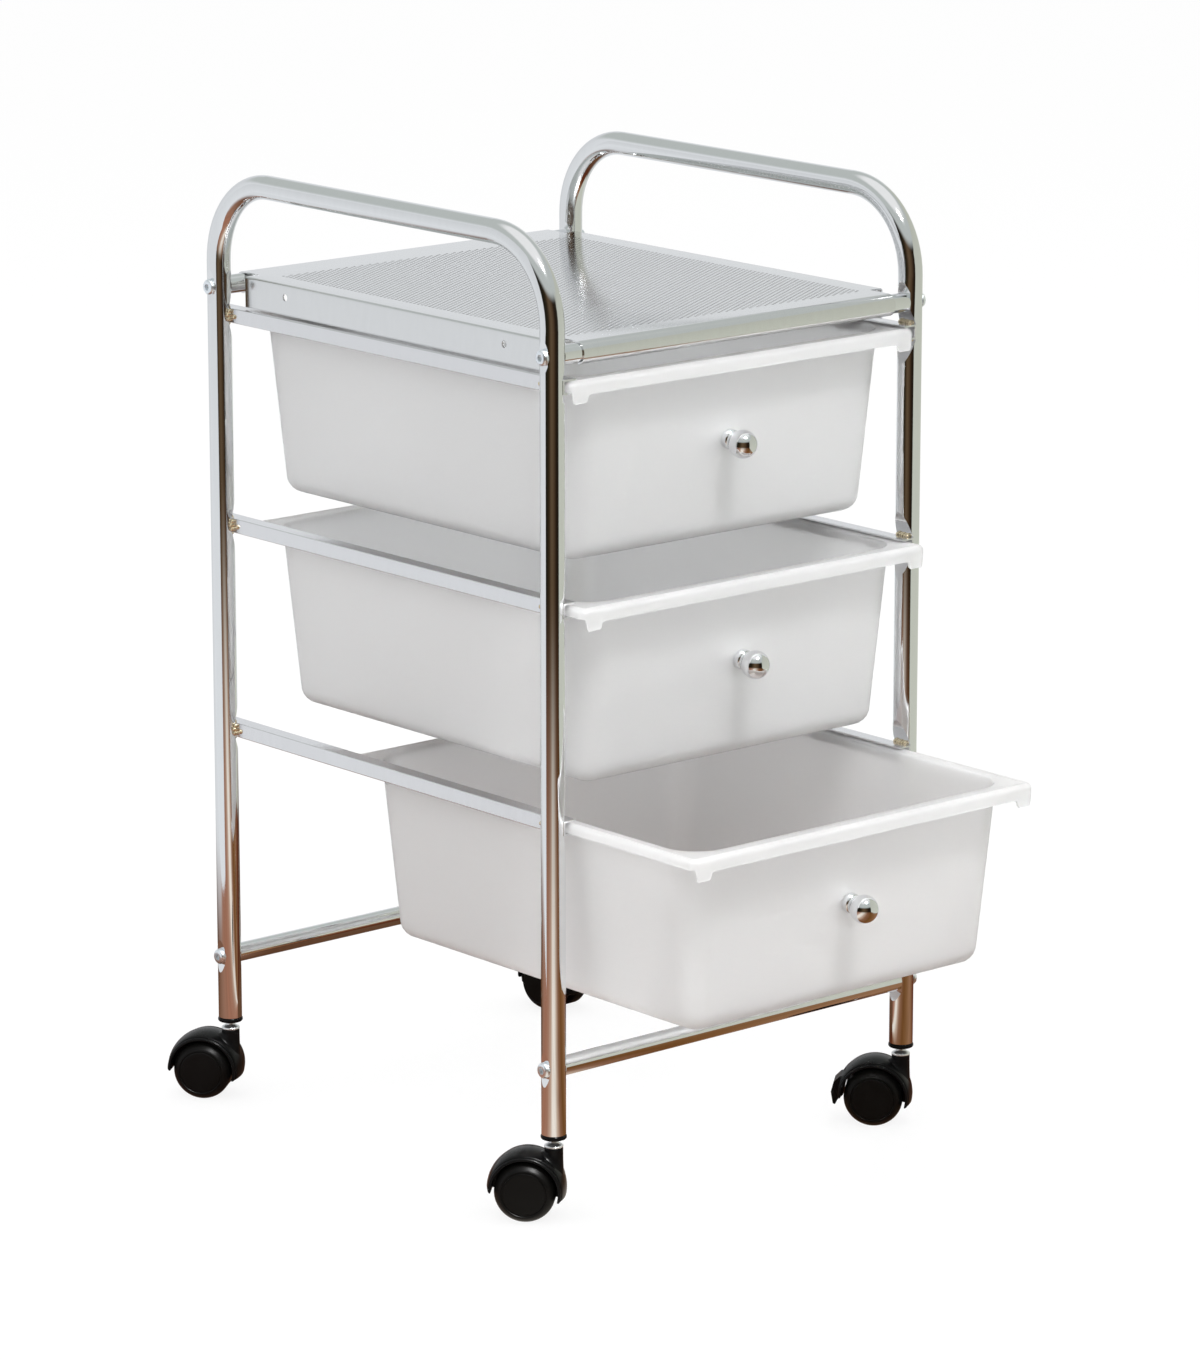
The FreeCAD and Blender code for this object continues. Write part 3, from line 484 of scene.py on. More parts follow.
@dataclass(frozen=True)
class Room:
    """What polished metal mirrors of the room, by bearing from the cart.

    Bearings are in degrees: 0 towards the camera, 90 to its right, 180 behind
    the cart. Colours are display colours. Heights of a view are the upward
    part of its direction, from 0 level to 1 overhead.

    Args:
        view: unit vector from the cart towards the camera, on the floor.
        walls: colour of the walls and of the far floor at each bearing.
        planks_and_sheen: colour of the floor near the cart at each bearing: the wood's own tone,
            with a painted sheen where a window's reflection lies on the wood towards the camera.
        near: radius where the wood starts to fade, in metres.
        far: radius where it has faded, at each bearing.
        reach: radius that a ramp's white stands for, in metres.
        boards: planks per metre, and how much narrower they are than long.
        shading: share of the wood's light in its darkest and palest grain.
        upper: colour above the walls.
        upper_view: heights of the view between which the walls end.
        ceiling: colour of the ceiling.
        ceiling_view: heights of the view between which the ceiling starts.
    """

    view: tuple[float, float] = (-0.6518, -0.7584)
    walls: Bands = (
        (-180.0, (0.90, 0.91, 0.92)),
        (-150.0, (0.86, 0.87, 0.88)),
        (-120.0, (0.90, 0.91, 0.92)),
        (-80.0, (0.92, 0.93, 0.94)),
        (-66.0, (0.88, 0.89, 0.90)),
        (-57.0, (0.14, 0.13, 0.10)),
        (-42.0, (0.13, 0.11, 0.07)),
        (-28.0, (0.20, 0.16, 0.10)),
        (-16.0, (0.33, 0.26, 0.19)),
        (-5.0, (0.38, 0.31, 0.23)),
        (14.0, (0.31, 0.24, 0.17)),
        (29.0, (0.17, 0.12, 0.08)),
        (41.0, (0.13, 0.10, 0.07)),
        (52.0, (0.20, 0.19, 0.16)),
        (62.0, (0.66, 0.66, 0.62)),
        (84.0, (0.80, 0.81, 0.76)),
        (102.0, (0.74, 0.75, 0.70)),
        (116.0, (0.88, 0.88, 0.86)),
        (140.0, (0.84, 0.85, 0.83)),
        (160.0, (0.86, 0.87, 0.86)),
        (180.0, (0.90, 0.91, 0.92)),
    )
    planks_and_sheen: Bands = (
        (-180.0, (0.42, 0.30, 0.22)),
        (-120.0, (0.40, 0.27, 0.19)),
        (-80.0, (0.62, 0.46, 0.38)),
        (-50.0, (0.66, 0.46, 0.37)),
        (-30.0, (0.68, 0.50, 0.41)),
        # painted sheen: these pale stops towards the camera stand for a window's reflection on the
        # wood
        (-15.0, (0.80, 0.68, 0.60)),
        (-6.0, (0.99, 0.95, 0.90)),
        (7.0, (0.97, 0.93, 0.88)),
        (15.0, (0.80, 0.70, 0.62)),
        (28.0, (0.56, 0.40, 0.30)),
        (46.0, (0.46, 0.30, 0.16)),
        (60.0, (0.52, 0.36, 0.22)),
        (84.0, (0.62, 0.46, 0.34)),
        (110.0, (0.40, 0.20, 0.12)),
        (140.0, (0.36, 0.20, 0.13)),
        (180.0, (0.42, 0.30, 0.22)),
    )
    near: float = 0.55
    far: Section = (
        (-180.0, 0.95),
        (-75.0, 0.95),
        (-55.0, 2.1),
        (50.0, 2.1),
        (66.0, 1.05),
        (180.0, 1.05),
    )
    reach: float = 3.0
    boards: tuple[float, float] = (2.5, 7.0)
    shading: tuple[float, float] = (0.72, 1.22)
    upper: Colour = (0.76, 0.78, 0.77)
    upper_view: tuple[float, float] = (0.30, 0.52)
    ceiling: Colour = (0.97, 0.97, 0.97)
    ceiling_view: tuple[float, float] = (0.74, 0.90)

    def bearing(self, shader: Shader, x: Socket, y: Socket) -> Socket:
        """Bearing of a floor vector, from 0 to 1, with 0.5 towards the camera.

        Args:
            shader: the nodes to add to.
            x: the vector's X.
            y: the vector's Y.

        Returns:
            The bearing.
        """
        ahead_x, ahead_y = self.view
        ahead = x * ahead_x + y * ahead_y
        aside = y * ahead_x - x * ahead_y
        angle = shader.node("Math", {"operation": "ARCTAN2"}, {0: aside, 1: ahead})
        return angle / math.tau + 0.5

    def ring(self, shader: Shader, bearing: Socket, bands: Bands) -> Socket:
        """Colour at a bearing from 0 to 1, from bands of linear light by degrees."""
        stops = [(turn / 360 + 0.5, colour) for turn, colour in bands]
        return shader.node("ValToRGB", {"stops": stops}, {0: bearing})

    def scenery(self, shader: Shader, bearing: Socket, bands: Bands) -> Socket:
        """Colour at a bearing from 0 to 1, from bands of display colours by degrees."""
        return self.ring(shader, bearing, tuple((turn, linear(c)) for turn, c in bands))

    def floor(self, shader: Shader) -> Socket:
        """Colour that polished metal sees on the floor.

        Args:
            shader: the floor's nodes.

        Returns:
            The colour.
        """
        x, y, _ = shader.parts(shader.place())
        bearing = self.bearing(shader, x, y)
        pitch, narrow = self.boards
        dark, pale = self.shading
        plank = shader.noise(pitch, 3.0, (1, narrow, 1))
        wood = self.scenery(shader, bearing, self.planks_and_sheen)
        grain = shader.node("Mix", {"data_type": "FLOAT"}, {0: plank, 2: dark, 3: pale})
        multiply = {"data_type": "RGBA", "blend_type": "MULTIPLY"}
        grained = shader.node("Mix", multiply, {0: 1.0, 6: wood, 7: grain}, 2)
        radii = tuple((turn, (radius / self.reach,) * 3) for turn, radius in self.far)
        faded = self.ring(shader, bearing, radii) * self.reach
        away = shader.fade((x * x + y * y) ** 0.5, self.near, faded)
        return shader.mix(away, grained, self.scenery(shader, bearing, self.walls))

    def air(self, shader: Shader) -> Socket:
        """Colour that polished metal sees above the floor.

        Args:
            shader: the world's nodes.

        Returns:
            The colour.
        """
        x, y, z = shader.parts(shader.node("TexCoord", output="Generated"))
        walls = self.scenery(shader, self.bearing(shader, x, y), self.walls)
        upper = shader.mix(shader.fade(z, *self.upper_view), walls, linear(self.upper))
        return shader.mix(shader.fade(z, *self.ceiling_view), upper, linear(self.ceiling))


def show(name: str, data: bpy.types.ID) -> bpy.types.Object:
    """Put a new object into the scene.

    Args:
        name: the object's name.
        data: its mesh, lamp or camera.

    Returns:
        The object.
    """
    item = bpy.data.objects.new(name, data)
    bpy.context.scene.collection.objects.link(item)
    return item


@dataclass(frozen=True)
class Lamp:
    """Square lamp that faces the cart.

    Args:
        name: lamp's name.
        spot: its place, in metres.
        size: side of the square, in metres.
        power: its power, in watts.
        glint: whether it lights only by its mirror image, or else only without.
        aim: the point that it faces.
    """

    name: str
    spot: Colour
    size: float
    power: float
    glint: bool = False
    aim: Colour = (0, 0, 0.3)

    def hang(self) -> None:
        """Put the lamp into the scene."""
        data = bpy.data.lights.new(self.name, "AREA")
        data.shape = "SQUARE"
        data.size = self.size
        data.energy = self.power
        item = show(self.name, data)
        item.location = self.spot
        look = Vector(self.aim) - Vector(self.spot)
        item.rotation_euler = look.to_track_quat("-Z", "Y").to_euler()
        item.visible_glossy = self.glint
        item.visible_diffuse = not self.glint
        item.visible_transmission = not self.glint


@dataclass(frozen=True)
class Card:
    """Upright reflector card that only polished surfaces see.

    Args:
        name: the card's name.
        foot: corners of its foot on the floor, in metres.
        colour: its display colour at the foot.
        height: its height.
        raised: height of its foot over the floor.
        dim: share of its colour at the top.
    """

    name: str
    foot: Section
    colour: Colour
    height: float = 0.95
    raised: float = 0.001
    dim: float = 0.93

    def stand(self) -> None:
        """Put the card into the scene."""
        mesh = bpy.data.meshes.new(self.name)
        points = [(x, y, z) for z in (self.raised, self.height) for x, y in self.foot]
        count = len(self.foot)
        faces = [(i, i + 1, i + 1 + count, i + count) for i in range(count - 1)]
        mesh.from_pydata(points, [], faces)
        item = show(self.name, mesh)
        material = bpy.data.materials.new(self.name)
        shader = Shader(material)
        share = shader.parts(shader.place())[2] / self.height
        top = linear(shaded(self.colour, self.dim))
        shader.finish(shader.glow(shader.mix(share, linear(self.colour), top)))
        mesh.materials.append(material)
        item.visible_camera = False
        item.visible_diffuse = False
        item.visible_transmission = False
        item.visible_volume_scatter = False
        item.visible_shadow = False


@dataclass
class Studio:
    """Pale floor, soft light and the camera at the photographed angle.

    Args:
        camera_spot: camera's place, in metres.
        azimuth: turn of the view about the upright, in degrees.
        elevation: how far the view looks down, in degrees.
        lens: focal length, in millimetres.
        sensor: width of the sensor, in millimetres.
        clip: nearest and farthest distance that the camera sees.
        floor_half: half of the floor's side, in metres.
        floor_tone: colour of the floor.
        floor_white: share of white light that the camera sees on the floor.
        dimming: how far the surroundings stay under white as a light.
        lamps: the lamps.
        cards: the reflector cards.
        room: what polished metal mirrors.
    """

    camera_spot: Colour = (-2.4638, -2.9053, 1.2205)
    azimuth: float = -40.676
    elevation: float = 13.58
    lens: float = 175.34
    sensor: float = 36.0
    clip: tuple[float, float] = (0.05, 50.0)
    floor_half: float = 6.0
    floor_tone: Colour = (0.93, 0.93, 0.93)
    floor_white: float = 0.86
    dimming: float = 0.04
    lamps: tuple[Lamp, ...] = (
        Lamp("key", (-1.9, -2.4, 2.6), 2.2, 31.0),
        Lamp("side", (-2.6, 0.3, 1.4), 2.2, 21.0),
        Lamp("fill", (2.4, -1.6, 1.6), 2.0, 17.0),
        Lamp("top", (0.2, 0.6, 3.2), 2.4, 26.0),
        Lamp("glint", (-0.15, -1.53, 2.9), 0.46, 300.0, glint=True),
    )
    cards: tuple[Card, ...] = (
        Card("left_card", ((-0.67, -0.07), (-0.70, 0.30), (-0.76, 1.30)), (0.93, 0.94, 0.95)),
        Card(
            "right_card",
            ((0.25, -1.46), (0.38, -0.80), (0.55, -0.20), (0.62, 0.10)),
            (0.82, 0.83, 0.78),
        ),
    )
    room: Room = field(default_factory=Room)

    def camera(self) -> None:
        """Set up the camera."""
        data = bpy.data.cameras.new("camera")
        data.sensor_fit = "HORIZONTAL"
        data.sensor_width = self.sensor
        data.lens = self.lens
        data.clip_start, data.clip_end = self.clip
        item = show("camera", data)
        item.location = self.camera_spot
        tilt = math.radians(90.0 - self.elevation)
        item.rotation_euler = (tilt, 0.0, math.radians(self.azimuth))
        bpy.context.scene.camera = item

    def floor(self) -> None:
        """Lay the floor: white to the camera, the room's floor in the chrome."""
        mesh = bpy.data.meshes.new("floor")
        half = self.floor_half
        corners = [(-half, -half, 0), (half, -half, 0), (half, half, 0), (-half, half, 0)]
        mesh.from_pydata(corners, [], [(0, 1, 2, 3)])
        item = show("floor", mesh)
        material = bpy.data.materials.new("floor")
        shader = Shader(material)
        pale = shader.node("BsdfDiffuse", inputs={"Color": self.floor_tone})
        seen = shader.ray("Camera") * self.floor_white
        inputs = {0: seen, 1: pale, 2: shader.glow((1.0, 1.0, 1.0))}
        bright = shader.node("MixShader", inputs=inputs)
        inputs = {0: shader.ray("Glossy"), 1: bright, 2: shader.glow(self.room.floor(shader))}
        shader.finish(shader.node("MixShader", inputs=inputs))
        mesh.materials.append(material)

    def world(self) -> None:
        """White surroundings, with the room in polished metal only."""
        world = bpy.data.worlds.new("studio")
        bpy.context.scene.world = world
        shader = Shader(world)
        metal = shader.ray("Glossy")
        colour = shader.mix(metal, (1.0, 1.0, 1.0), self.room.air(shader))
        lit = 1.0 - self.dimming
        for share in (shader.ray("Camera"), shader.ray("Transmission"), metal):
            lit = lit + self.dimming * share
        shader.finish(shader.node("Background", inputs={"Color": colour, "Strength": lit}))

    def build(self) -> None:
        """Set up everything around the cart."""
        bpy.context.scene.view_settings.view_transform = "Standard"
        self.camera()
        self.floor()
        for card in self.cards:
            card.stand()
        self.world()
        for lamp in self.lamps:
            lamp.hang()
        log.info("studio: camera, floor, cards, world and lamps")


def circle(steps: int) -> list[float]:
    """Evenly spaced angles of a full turn, in radians."""
    return [math.tau * step / steps for step in range(steps)]


def polar(radius: float, angle: float) -> tuple[float, float]:
    """Cosine and sine of an angle in radians, times a radius."""
    return radius * math.cos(angle), radius * math.sin(angle)


def smooth(share: float) -> float:
    """Smooth step of a share that is cut to 0..1."""
    share = min(max(share, 0.0), 1.0)
    return share * share * (3 - 2 * share)


def middle(node: str) -> Vector:
    """Centre of a node's box."""
    low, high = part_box(node)
    return (Vector(low) + Vector(high)) / 2


class Skin:
    """Mesh under construction, made of rings of points."""

    def __init__(self, name: str) -> None:
        """Start empty, with the name of the finished piece."""
        self.name = name
        self.mesh = bmesh.new()

    def ring(self, points: Iterable[Point]) -> list[bmesh.types.BMVert]:
        """Add points, in metres in the cart's frame, without faces."""
        return [self.mesh.verts.new(point) for point in points]

    def strip(self, near: Iterable[Point], far: Iterable[Point]) -> None:
        """Add a strip of faces between two rows of points.

        Args:
            near: points of the first row.
            far: points of the second row.
        """
        low, high = self.ring(near), self.ring(far)
        for index in range(len(low) - 1):
            self.mesh.faces.new((low[index], low[index + 1], high[index + 1], high[index]))

    def loft(self, rings: Iterable[Iterable[Point]]) -> None:
        """Add a closed shell through rings of equal count, capped at both ends.

        Args:
            rings: closed rings in order.
        """
        rows = [self.ring(points) for points in rings]
        count = len(rows[0])
        for low, high in zip(rows, rows[1:]):
            for index in range(count):
                after = (index + 1) % count
                self.mesh.faces.new((low[index], low[after], high[after], high[index]))
        self.mesh.faces.new(list(reversed(rows[0])))
        self.mesh.faces.new(rows[-1])

    def turn(self, profile: Iterable[tuple[float, float]], place: Matrix, steps: int) -> None:
        """Add a turned shell about the Z axis of a place.

        Args:
            profile: radius and height of each ring, in metres.
            place: where its axis stands.
            steps: points in a ring.
        """
        self.loft(
            [place @ Vector((*polar(radius, angle), z)) for angle in circle(steps)]
            for radius, z in profile
        )

    def fill(
        self,
        loops: Iterable[Iterable[Point]],
        border: Iterable[bmesh.types.BMEdge] = (),
        facing: Point = (0, 0, 0),
    ) -> None:
        """Add a flat face with holes.

        Args:
            loops: the outline first, then the holes.
            border: edges of the mesh that bound the face too.
            facing: way that it faces, or nought to work it out.
        """
        edges = list(border)
        for points in loops:
            verts = self.ring(points)
            for vert, after in zip(verts, verts[1:] + verts[:1]):
                edges.append(self.mesh.edges.new((vert, after)))
        bmesh.ops.triangle_fill(
            self.mesh, edges=edges, use_beauty=True, use_dissolve=False, normal=facing
        )

    def object(self, gauge: float) -> bpy.types.Object:
        """Write the mesh to an object.

        Args:
            gauge: thickness of an open sheet, or nought for closed shells, whose
                faces are turned out.

        Returns:
            The object, linked to the scene.
        """
        if not gauge:
            bmesh.ops.recalc_face_normals(self.mesh, faces=self.mesh.faces)
        data = bpy.data.meshes.new(self.name)
        self.mesh.to_mesh(data)
        self.mesh.free()
        item = show(self.name, data)
        if gauge:
            added = item.modifiers.new("gauge", "SOLIDIFY")
            added.thickness = gauge
            added.offset = -1.0
            graph = bpy.context.evaluated_depsgraph_get()
            item.data = bpy.data.meshes.new_from_object(item.evaluated_get(graph))
            item.modifiers.clear()
        return item


@dataclass
class Assembly:
    """Part of the cart whose pieces are dressed from one palette.

    Args:
        palette: the cart's materials.
    """

    palette: Palette

    def piece(
        self,
        skin: Skin,
        look: tuple[Finish, str],
        body: str,
        nodes: Sequence[str],
        crease: float = 32.0,
        gauge: float = 0.0,
    ) -> None:
        """look: finish, and the name of a material slot, which is not used.
            body: body that the piece rides on.
            nodes: nodes that it stands for.
            crease: angle above which an edge stays sharp, in degrees.
            gauge: thickness of an open sheet, or nought for closed shells.
        """
        item = skin.object(gauge)
        for face in item.data.polygons:
            face.use_smooth = True
        item.data.set_sharp_from_angle(angle=math.radians(crease))
        finish, slot = look
        self.palette.dress(item, finish)
        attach(item, body)
        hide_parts(*nodes)
        log.info("%s: %d faces", item.name, len(item.data.polygons))


@dataclass
class PerforatedShelf(Assembly):
    """Chromed sheet shelf: staggered round holes, side flanges, curled edges.

    Sizes are in metres, in the cart's frame.

    Args:
        half_width: half of the width over the flanges.
        top: height of the upper face.
        gauge: thickness of the sheet.
        bend: outer radius of the flange bends.
        bend_step: turn between the rows of a bend, in degrees.
        flange: height of the flanges.
        flange_half: half of the flanges' length.
        curl_half: half of the curled edges' length.
        tube_y: distance of the cross tubes from the middle.
        curl_radius: outer radius of the curls.
        curl_turn: how far a curl wraps its tube, in degrees.
        curl_steps: rows of faces in a curl.
        pitch: spacing of the holes in a row, which runs along Y.
        row_step: spacing of the rows, along X.
        hole_radius: radius of a hole.
        field_half: half of the perforated field's width.
        field_front: front end of the field.
        field_rear: rear end of the field.
        screw_hole: radius of the holes in the flanges.
        screw_steps: points round one of them.
        screw_drop: how far they lie below the upper face.
        screw_spots: their places along a flange.
        merge: distance within which corners are one.
    """

    half_width: float = 0.145
    top: float = 0.57030
    gauge: float = 0.001
    bend: float = 0.002
    bend_step: int = 15
    flange: float = 0.0205
    flange_half: float = 0.154
    curl_half: float = 0.1335
    tube_y: float = 0.1715
    curl_radius: float = 0.0074
    curl_turn: float = 170.0
    curl_steps: int = 32
    pitch: float = 0.00384
    row_step: float = 0.00333
    hole_radius: float = 0.00098
    field_half: float = 0.1276
    field_front: float = -0.1560
    field_rear: float = 0.1410
    screw_hole: float = 0.0024
    screw_steps: int = 24
    screw_drop: float = 0.0086
    screw_spots: tuple[float, float] = (-0.1145, 0.111)
    merge: float = 1e-6

    def _cell(self) -> Section:
        """Corners of the sheet's share round a hole, from its middle.

        Returns:
            Eight corners: a hexagon's, and the middles of its two long sides.
        """
        half = self.pitch / 2
        low = (self.row_step ** 2 - half ** 2) / (2 * self.row_step)
        high = self.row_step - low
        front = ((-high, 0), (-low, -half), (0, -half), (low, -half))
        return front + tuple((-x, -y) for x, y in front)

    def _field(self, skin: Skin) -> list[bmesh.types.BMEdge]:
        """Add the perforated field, one cell round each hole.

        Args:
            skin: the mesh that receives it.

        Returns:
            The edges of its outline.
        """
        columns = int((self.field_rear - self.field_front) / self.pitch)
        rows = int(2 * self.field_half / self.row_step)
        centre_y = (self.field_front + self.field_rear) / 2
        cell = self._cell()
        shared: dict[tuple[int, int], bmesh.types.BMVert] = {}
        for row in range(rows):
            x = (row + 0.5 - rows / 2) * self.row_step
            for column in range(columns - row % 2):
                y = centre_y + (column + 0.5 * (1 + row % 2 - columns)) * self.pitch
                corners = []
                for dx, dy in cell:
                    key = tuple(round(part / (5 * self.merge)) for part in (x + dx, y + dy))
                    if key not in shared:
                        shared[key] = skin.mesh.verts.new((x + dx, y + dy, self.top))
                    corners.append(shared[key])
                rim = []
                for angle in circle(len(cell)):
                    dx, dy = polar(self.hole_radius, math.pi + angle)
                    rim.append(skin.mesh.verts.new((x + dx, y + dy, self.top)))
                for index in range(len(cell)):
                    after = (index + 1) % len(cell)
                    skin.mesh.faces.new((corners[index], corners[after], rim[after], rim[index]))
        outer = set(shared.values())
        return [
            edge
            for edge in skin.mesh.edges
            if len(edge.link_faces) == 1 and edge.verts[0] in outer and edge.verts[1] in outer
        ]

    def _margin(self, skin: Skin, border: list[bmesh.types.BMEdge]) -> None:
        """Fill the sheet between the field and its outline.

        Args:
            skin: the mesh that holds the field.
            border: edges of the field's outline.
        """
        flat = self.half_width - self.bend
        corner = [
            (flat, self.flange_half),
            (self.curl_half, self.flange_half),
            (self.curl_half, self.tube_y),
        ]
        outline = [(-x, -y) for x, y in corner] + [(x, -y) for x, y in reversed(corner)]
        outline += corner + [(-x, y) for x, y in reversed(corner)]
        skin.fill([[(x, y, self.top) for x, y in outline]], border, (0, 0, 1))

    def _flange(self, skin: Skin, side: int) -> None:
        """Add one side's bend and flange with its two screw holes.

        Args:
            skin: the mesh that receives them.
            side: -1 for the left, 1 for the right.
        """
        bend = []
        for turn in range(0, 91, self.bend_step):
            up, out = polar(self.bend, math.radians(turn))
            x = side * (self.half_width - self.bend) + side * out
            bend.append((x, self.top - self.bend + up))
        half = self.flange_half
        skin.strip([(x, -half, z) for x, z in bend], [(x, half, z) for x, z in bend])
        x = side * self.half_width
        upper, lower = self.top - self.bend, self.top - self.flange
        loops = [[(x, -half, upper), (x, half, upper), (x, half, lower), (x, -half, lower)]]
        for y in self.screw_spots:
            holes = [polar(self.screw_hole, angle) for angle in circle(self.screw_steps)]
            loops.append([(x, y + dy, self.top - self.screw_drop + dz) for dy, dz in holes])
        skin.fill(loops)

    def _curl(self, skin: Skin, side: int) -> None:
        """Add one edge curled round its cross tube.

        Args:
            skin: the mesh that receives it.
            side: -1 for the front, 1 for the rear.
        """
        section = []
        for step in range(self.curl_steps + 1):
            turn = math.radians(self.curl_turn * step / self.curl_steps)
            up, out = polar(self.curl_radius, turn)
            section.append((side * (self.tube_y + out), self.top - self.curl_radius + up))
        half = self.curl_half
        skin.strip([(-half, y, z) for y, z in section], [(half, y, z) for y, z in section])

    def _face_out(self, mesh: bmesh.types.BMesh) -> None:
        """Turn every face's front outwards, away from the sheet's underside.

        Args:
            mesh: the finished sheet.
        """
        axis_z = self.top - self.curl_radius
        for face in mesh.faces:
            face.normal_update()
            centre = face.calc_center_median()
            if abs(centre.y) > self.tube_y:
                hub = Vector((centre.x, math.copysign(self.tube_y, centre.y), axis_z))
            else:
                hub = Vector((centre.x * 0.9, centre.y, self.top - 1.5 * self.flange))
            if face.normal.dot(centre - hub) < 0:
                face.normal_flip()

    def build(self) -> None:
        """Build the shelf in place of the plain one."""
        skin = Skin("perforated_shelf")
        self._margin(skin, self._field(skin))
        for side in (-1, 1):
            self._flange(skin, side)
            self._curl(skin, side)
        bmesh.ops.remove_doubles(skin.mesh, verts=skin.mesh.verts, dist=self.merge)
        self._face_out(skin.mesh)
        look = (Finish.SHEET, "chromed_sheet")
        self.piece(skin, look, "cart_frame", ["top_shelf"], crease=35.0, gauge=self.gauge)


@dataclass
class Drawer(Assembly):
    """Moulded drawer: drafted bin, flanged rim with lips and corner tabs.

    Its rim is as wide and long as the node's box; the rest is in metres. A
    section's points are an inset and a height over the rim's top face.

    Args:
        storey: which drawer.
        rim_corner: radius of the rim's corners.
        ridge: height of the ridge on the rim.
        side_lip: depth of the lip at the sides and the rear.
        front_lip: depth of the front lip.
        lip_run: length over which one depth turns into the other.
        tab_depth: depth of the corner tabs.
        tab_middle: place of a tab's middle, along the front from the corner's start.
        tab_flat: half of a tab's flat foot.
        tab_round: run of a tab's rounded edges.
        bin_insets: insets of the bin from the rim's sides, front and rear.
        bin_corner: radius of the bin's corners at its mouth.
        sharpest: smallest radius of a corner.
        wall: thickness of the bin's walls.
        depth: depth of the bin.
        draft: draft of its walls, in degrees.
        foot: radius of its foot.
        foot_steps: steps round the foot.
        corner_steps: steps round a corner.
        wall_shares: heights of the walls' rings, as shares of the straight part.
        tab_points: points along the front from a corner, for the tab and beyond.
        side_points: points along a side, as shares.
        rear_points: points along the rear, as shares.
        mouth: section of the bin's rounded mouth, inwards from its inner face.
        rim_top: section of the rim's top, with its ridge and rounded edge.
        lip_edge: section of the lip's lower edge, as inset and lift.
        rim_under: section of the rim's underside.
        root: section of the bin's root under the rim.
    """

    storey: str
    rim_corner: float = 0.006
    ridge: float = 0.0004
    side_lip: float = 0.0063
    front_lip: float = 0.009
    lip_run: float = 0.0040
    tab_depth: float = 0.0142
    tab_middle: float = 0.0032
    tab_flat: float = 0.0050
    tab_round: float = 0.0022
    bin_insets: tuple[float, float, float] = (0.0092, 0.0117, 0.0115)
    bin_corner: float = 0.026
    sharpest: float = 0.0004
    wall: float = 0.0016
    depth: float = 0.122
    draft: float = 5.8
    foot: float = 0.012
    foot_steps: int = 6
    corner_steps: int = 12
    wall_shares: tuple[float, ...] = (0.75, 0.5, 0.25, 0.08)
    tab_points: tuple[float, ...] = (
        *(0.0011 * step for step in range(1, 10)), 0.013, 0.025, 0.06, 0.1,
    )
    side_points: tuple[float, ...] = (0.04, 0.3, 0.7, 0.96)
    rear_points: tuple[float, ...] = (0.05, 0.35, 0.65, 0.95)
    mouth: Section = ((0.0, -0.0022), (0.0002, -0.0010), (0.0006, -0.0003), (0.0014, 0.0))
    rim_top: Section = (
        (0.0050, 0.0),
        (0.0047, 0.00008),
        (0.0045, 0.0003),
        (0.0041, 0.0004),
        (0.0031, 0.0004),
        (0.0028, 0.0003),
        (0.0026, 0.00005),
        (0.0022, -0.00015),
        (0.0014, -0.0005),
        (0.0008, -0.0010),
        (0.0003, -0.0018),
        (0.0, -0.0030),
        (0.0, -0.0050),
    )
    lip_edge: Section = (
        (0.0, 0.0007),
        (0.0002, 0.0002),
        (0.0006, 0.0),
        (0.0014, 0.0),
        (0.0018, 0.0002),
        (0.002, 0.0007),
    )
    rim_under: Section = ((0.002, -0.0036), (0.0023, -0.0026), (0.0032, -0.002))
    root: Section = ((-0.0020, -0.0020), (-0.0008, -0.0023), (0.0, -0.0034))

    def __post_init__(self) -> None:
        """Read the rim's edges from the node's box."""
        low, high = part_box(self.storey + "_drawer")
        self.half = (high[0] - low[0]) / 2
        self.front = low[1]
        self.rear = high[1]
        self.top = high[2] - self.ridge
        run = 2 * (self.half - self.rim_corner)
        ahead = [distance / run for distance in self.tab_points]
        across = ahead + [0.5] + [1 - share for share in reversed(ahead)]
        self.shares = (across, self.side_points, self.rear_points, self.side_points)

    def _outline(
        self, insets: tuple[float, float, float], corner: float, inset: float
    ) -> list[tuple[float, float]]:
        """Rounded rectangle inside the rim, run by run from the front left.

        Args:
            insets: insets of its sides, front and rear from the rim.
            corner: radius of its corners before the further inset.
            inset: further inset all round.

        Returns:
            Its points.
        """
        radius = max(corner - inset, self.sharpest)
        x = self.half - insets[0] - inset - radius
        front = self.front + insets[1] + inset + radius
        rear = self.rear - insets[2] - inset - radius
        hubs = ((x, front, -90), (x, rear, 0), (-x, rear, 90), (-x, front, 180))
        points = []
        for index, (hub_x, hub_y, start) in enumerate(hubs):
            before_x, before_y, _ = hubs[index - 1]
            out_x, out_y = polar(radius, math.radians(start))
            for share in self.shares[index]:
                along_x = before_x + (hub_x - before_x) * share
                along_y = before_y + (hub_y - before_y) * share
                points.append((along_x + out_x, along_y + out_y))
            for step in range(self.corner_steps + 1):
                out_x, out_y = polar(radius, math.radians(start + 90 * step / self.corner_steps))
                points.append((hub_x + out_x, hub_y + out_y))
        return points

    def _lip(self, x: float, y: float) -> float:
        """Depth of the lip at a point of the rim.

        Args:
            x: the point's X.
            y: the point's Y.

        Returns:
            The depth.
        """
        if y > self.front + self.rim_corner:
            return self.side_lip
        along = self.half - self.rim_corner - abs(x)
        if along < 0:
            along = -self.rim_corner * math.atan2(-along, self.front + self.rim_corner - y)
        base = self.side_lip + (self.front_lip - self.side_lip) * smooth(1 + along / self.lip_run)
        away = abs(along - self.tab_middle) - self.tab_flat
        return base + (self.tab_depth - base) * smooth(1 - away / self.tab_round)

    def _rim(self, inset: float, height: float) -> list[tuple[float, float, float]]:
        """Ring of the rim at a height over its top face."""
        outline = self._outline((0, 0, 0), self.rim_corner, inset)
        return [(x, y, self.top + height) for x, y in outline]

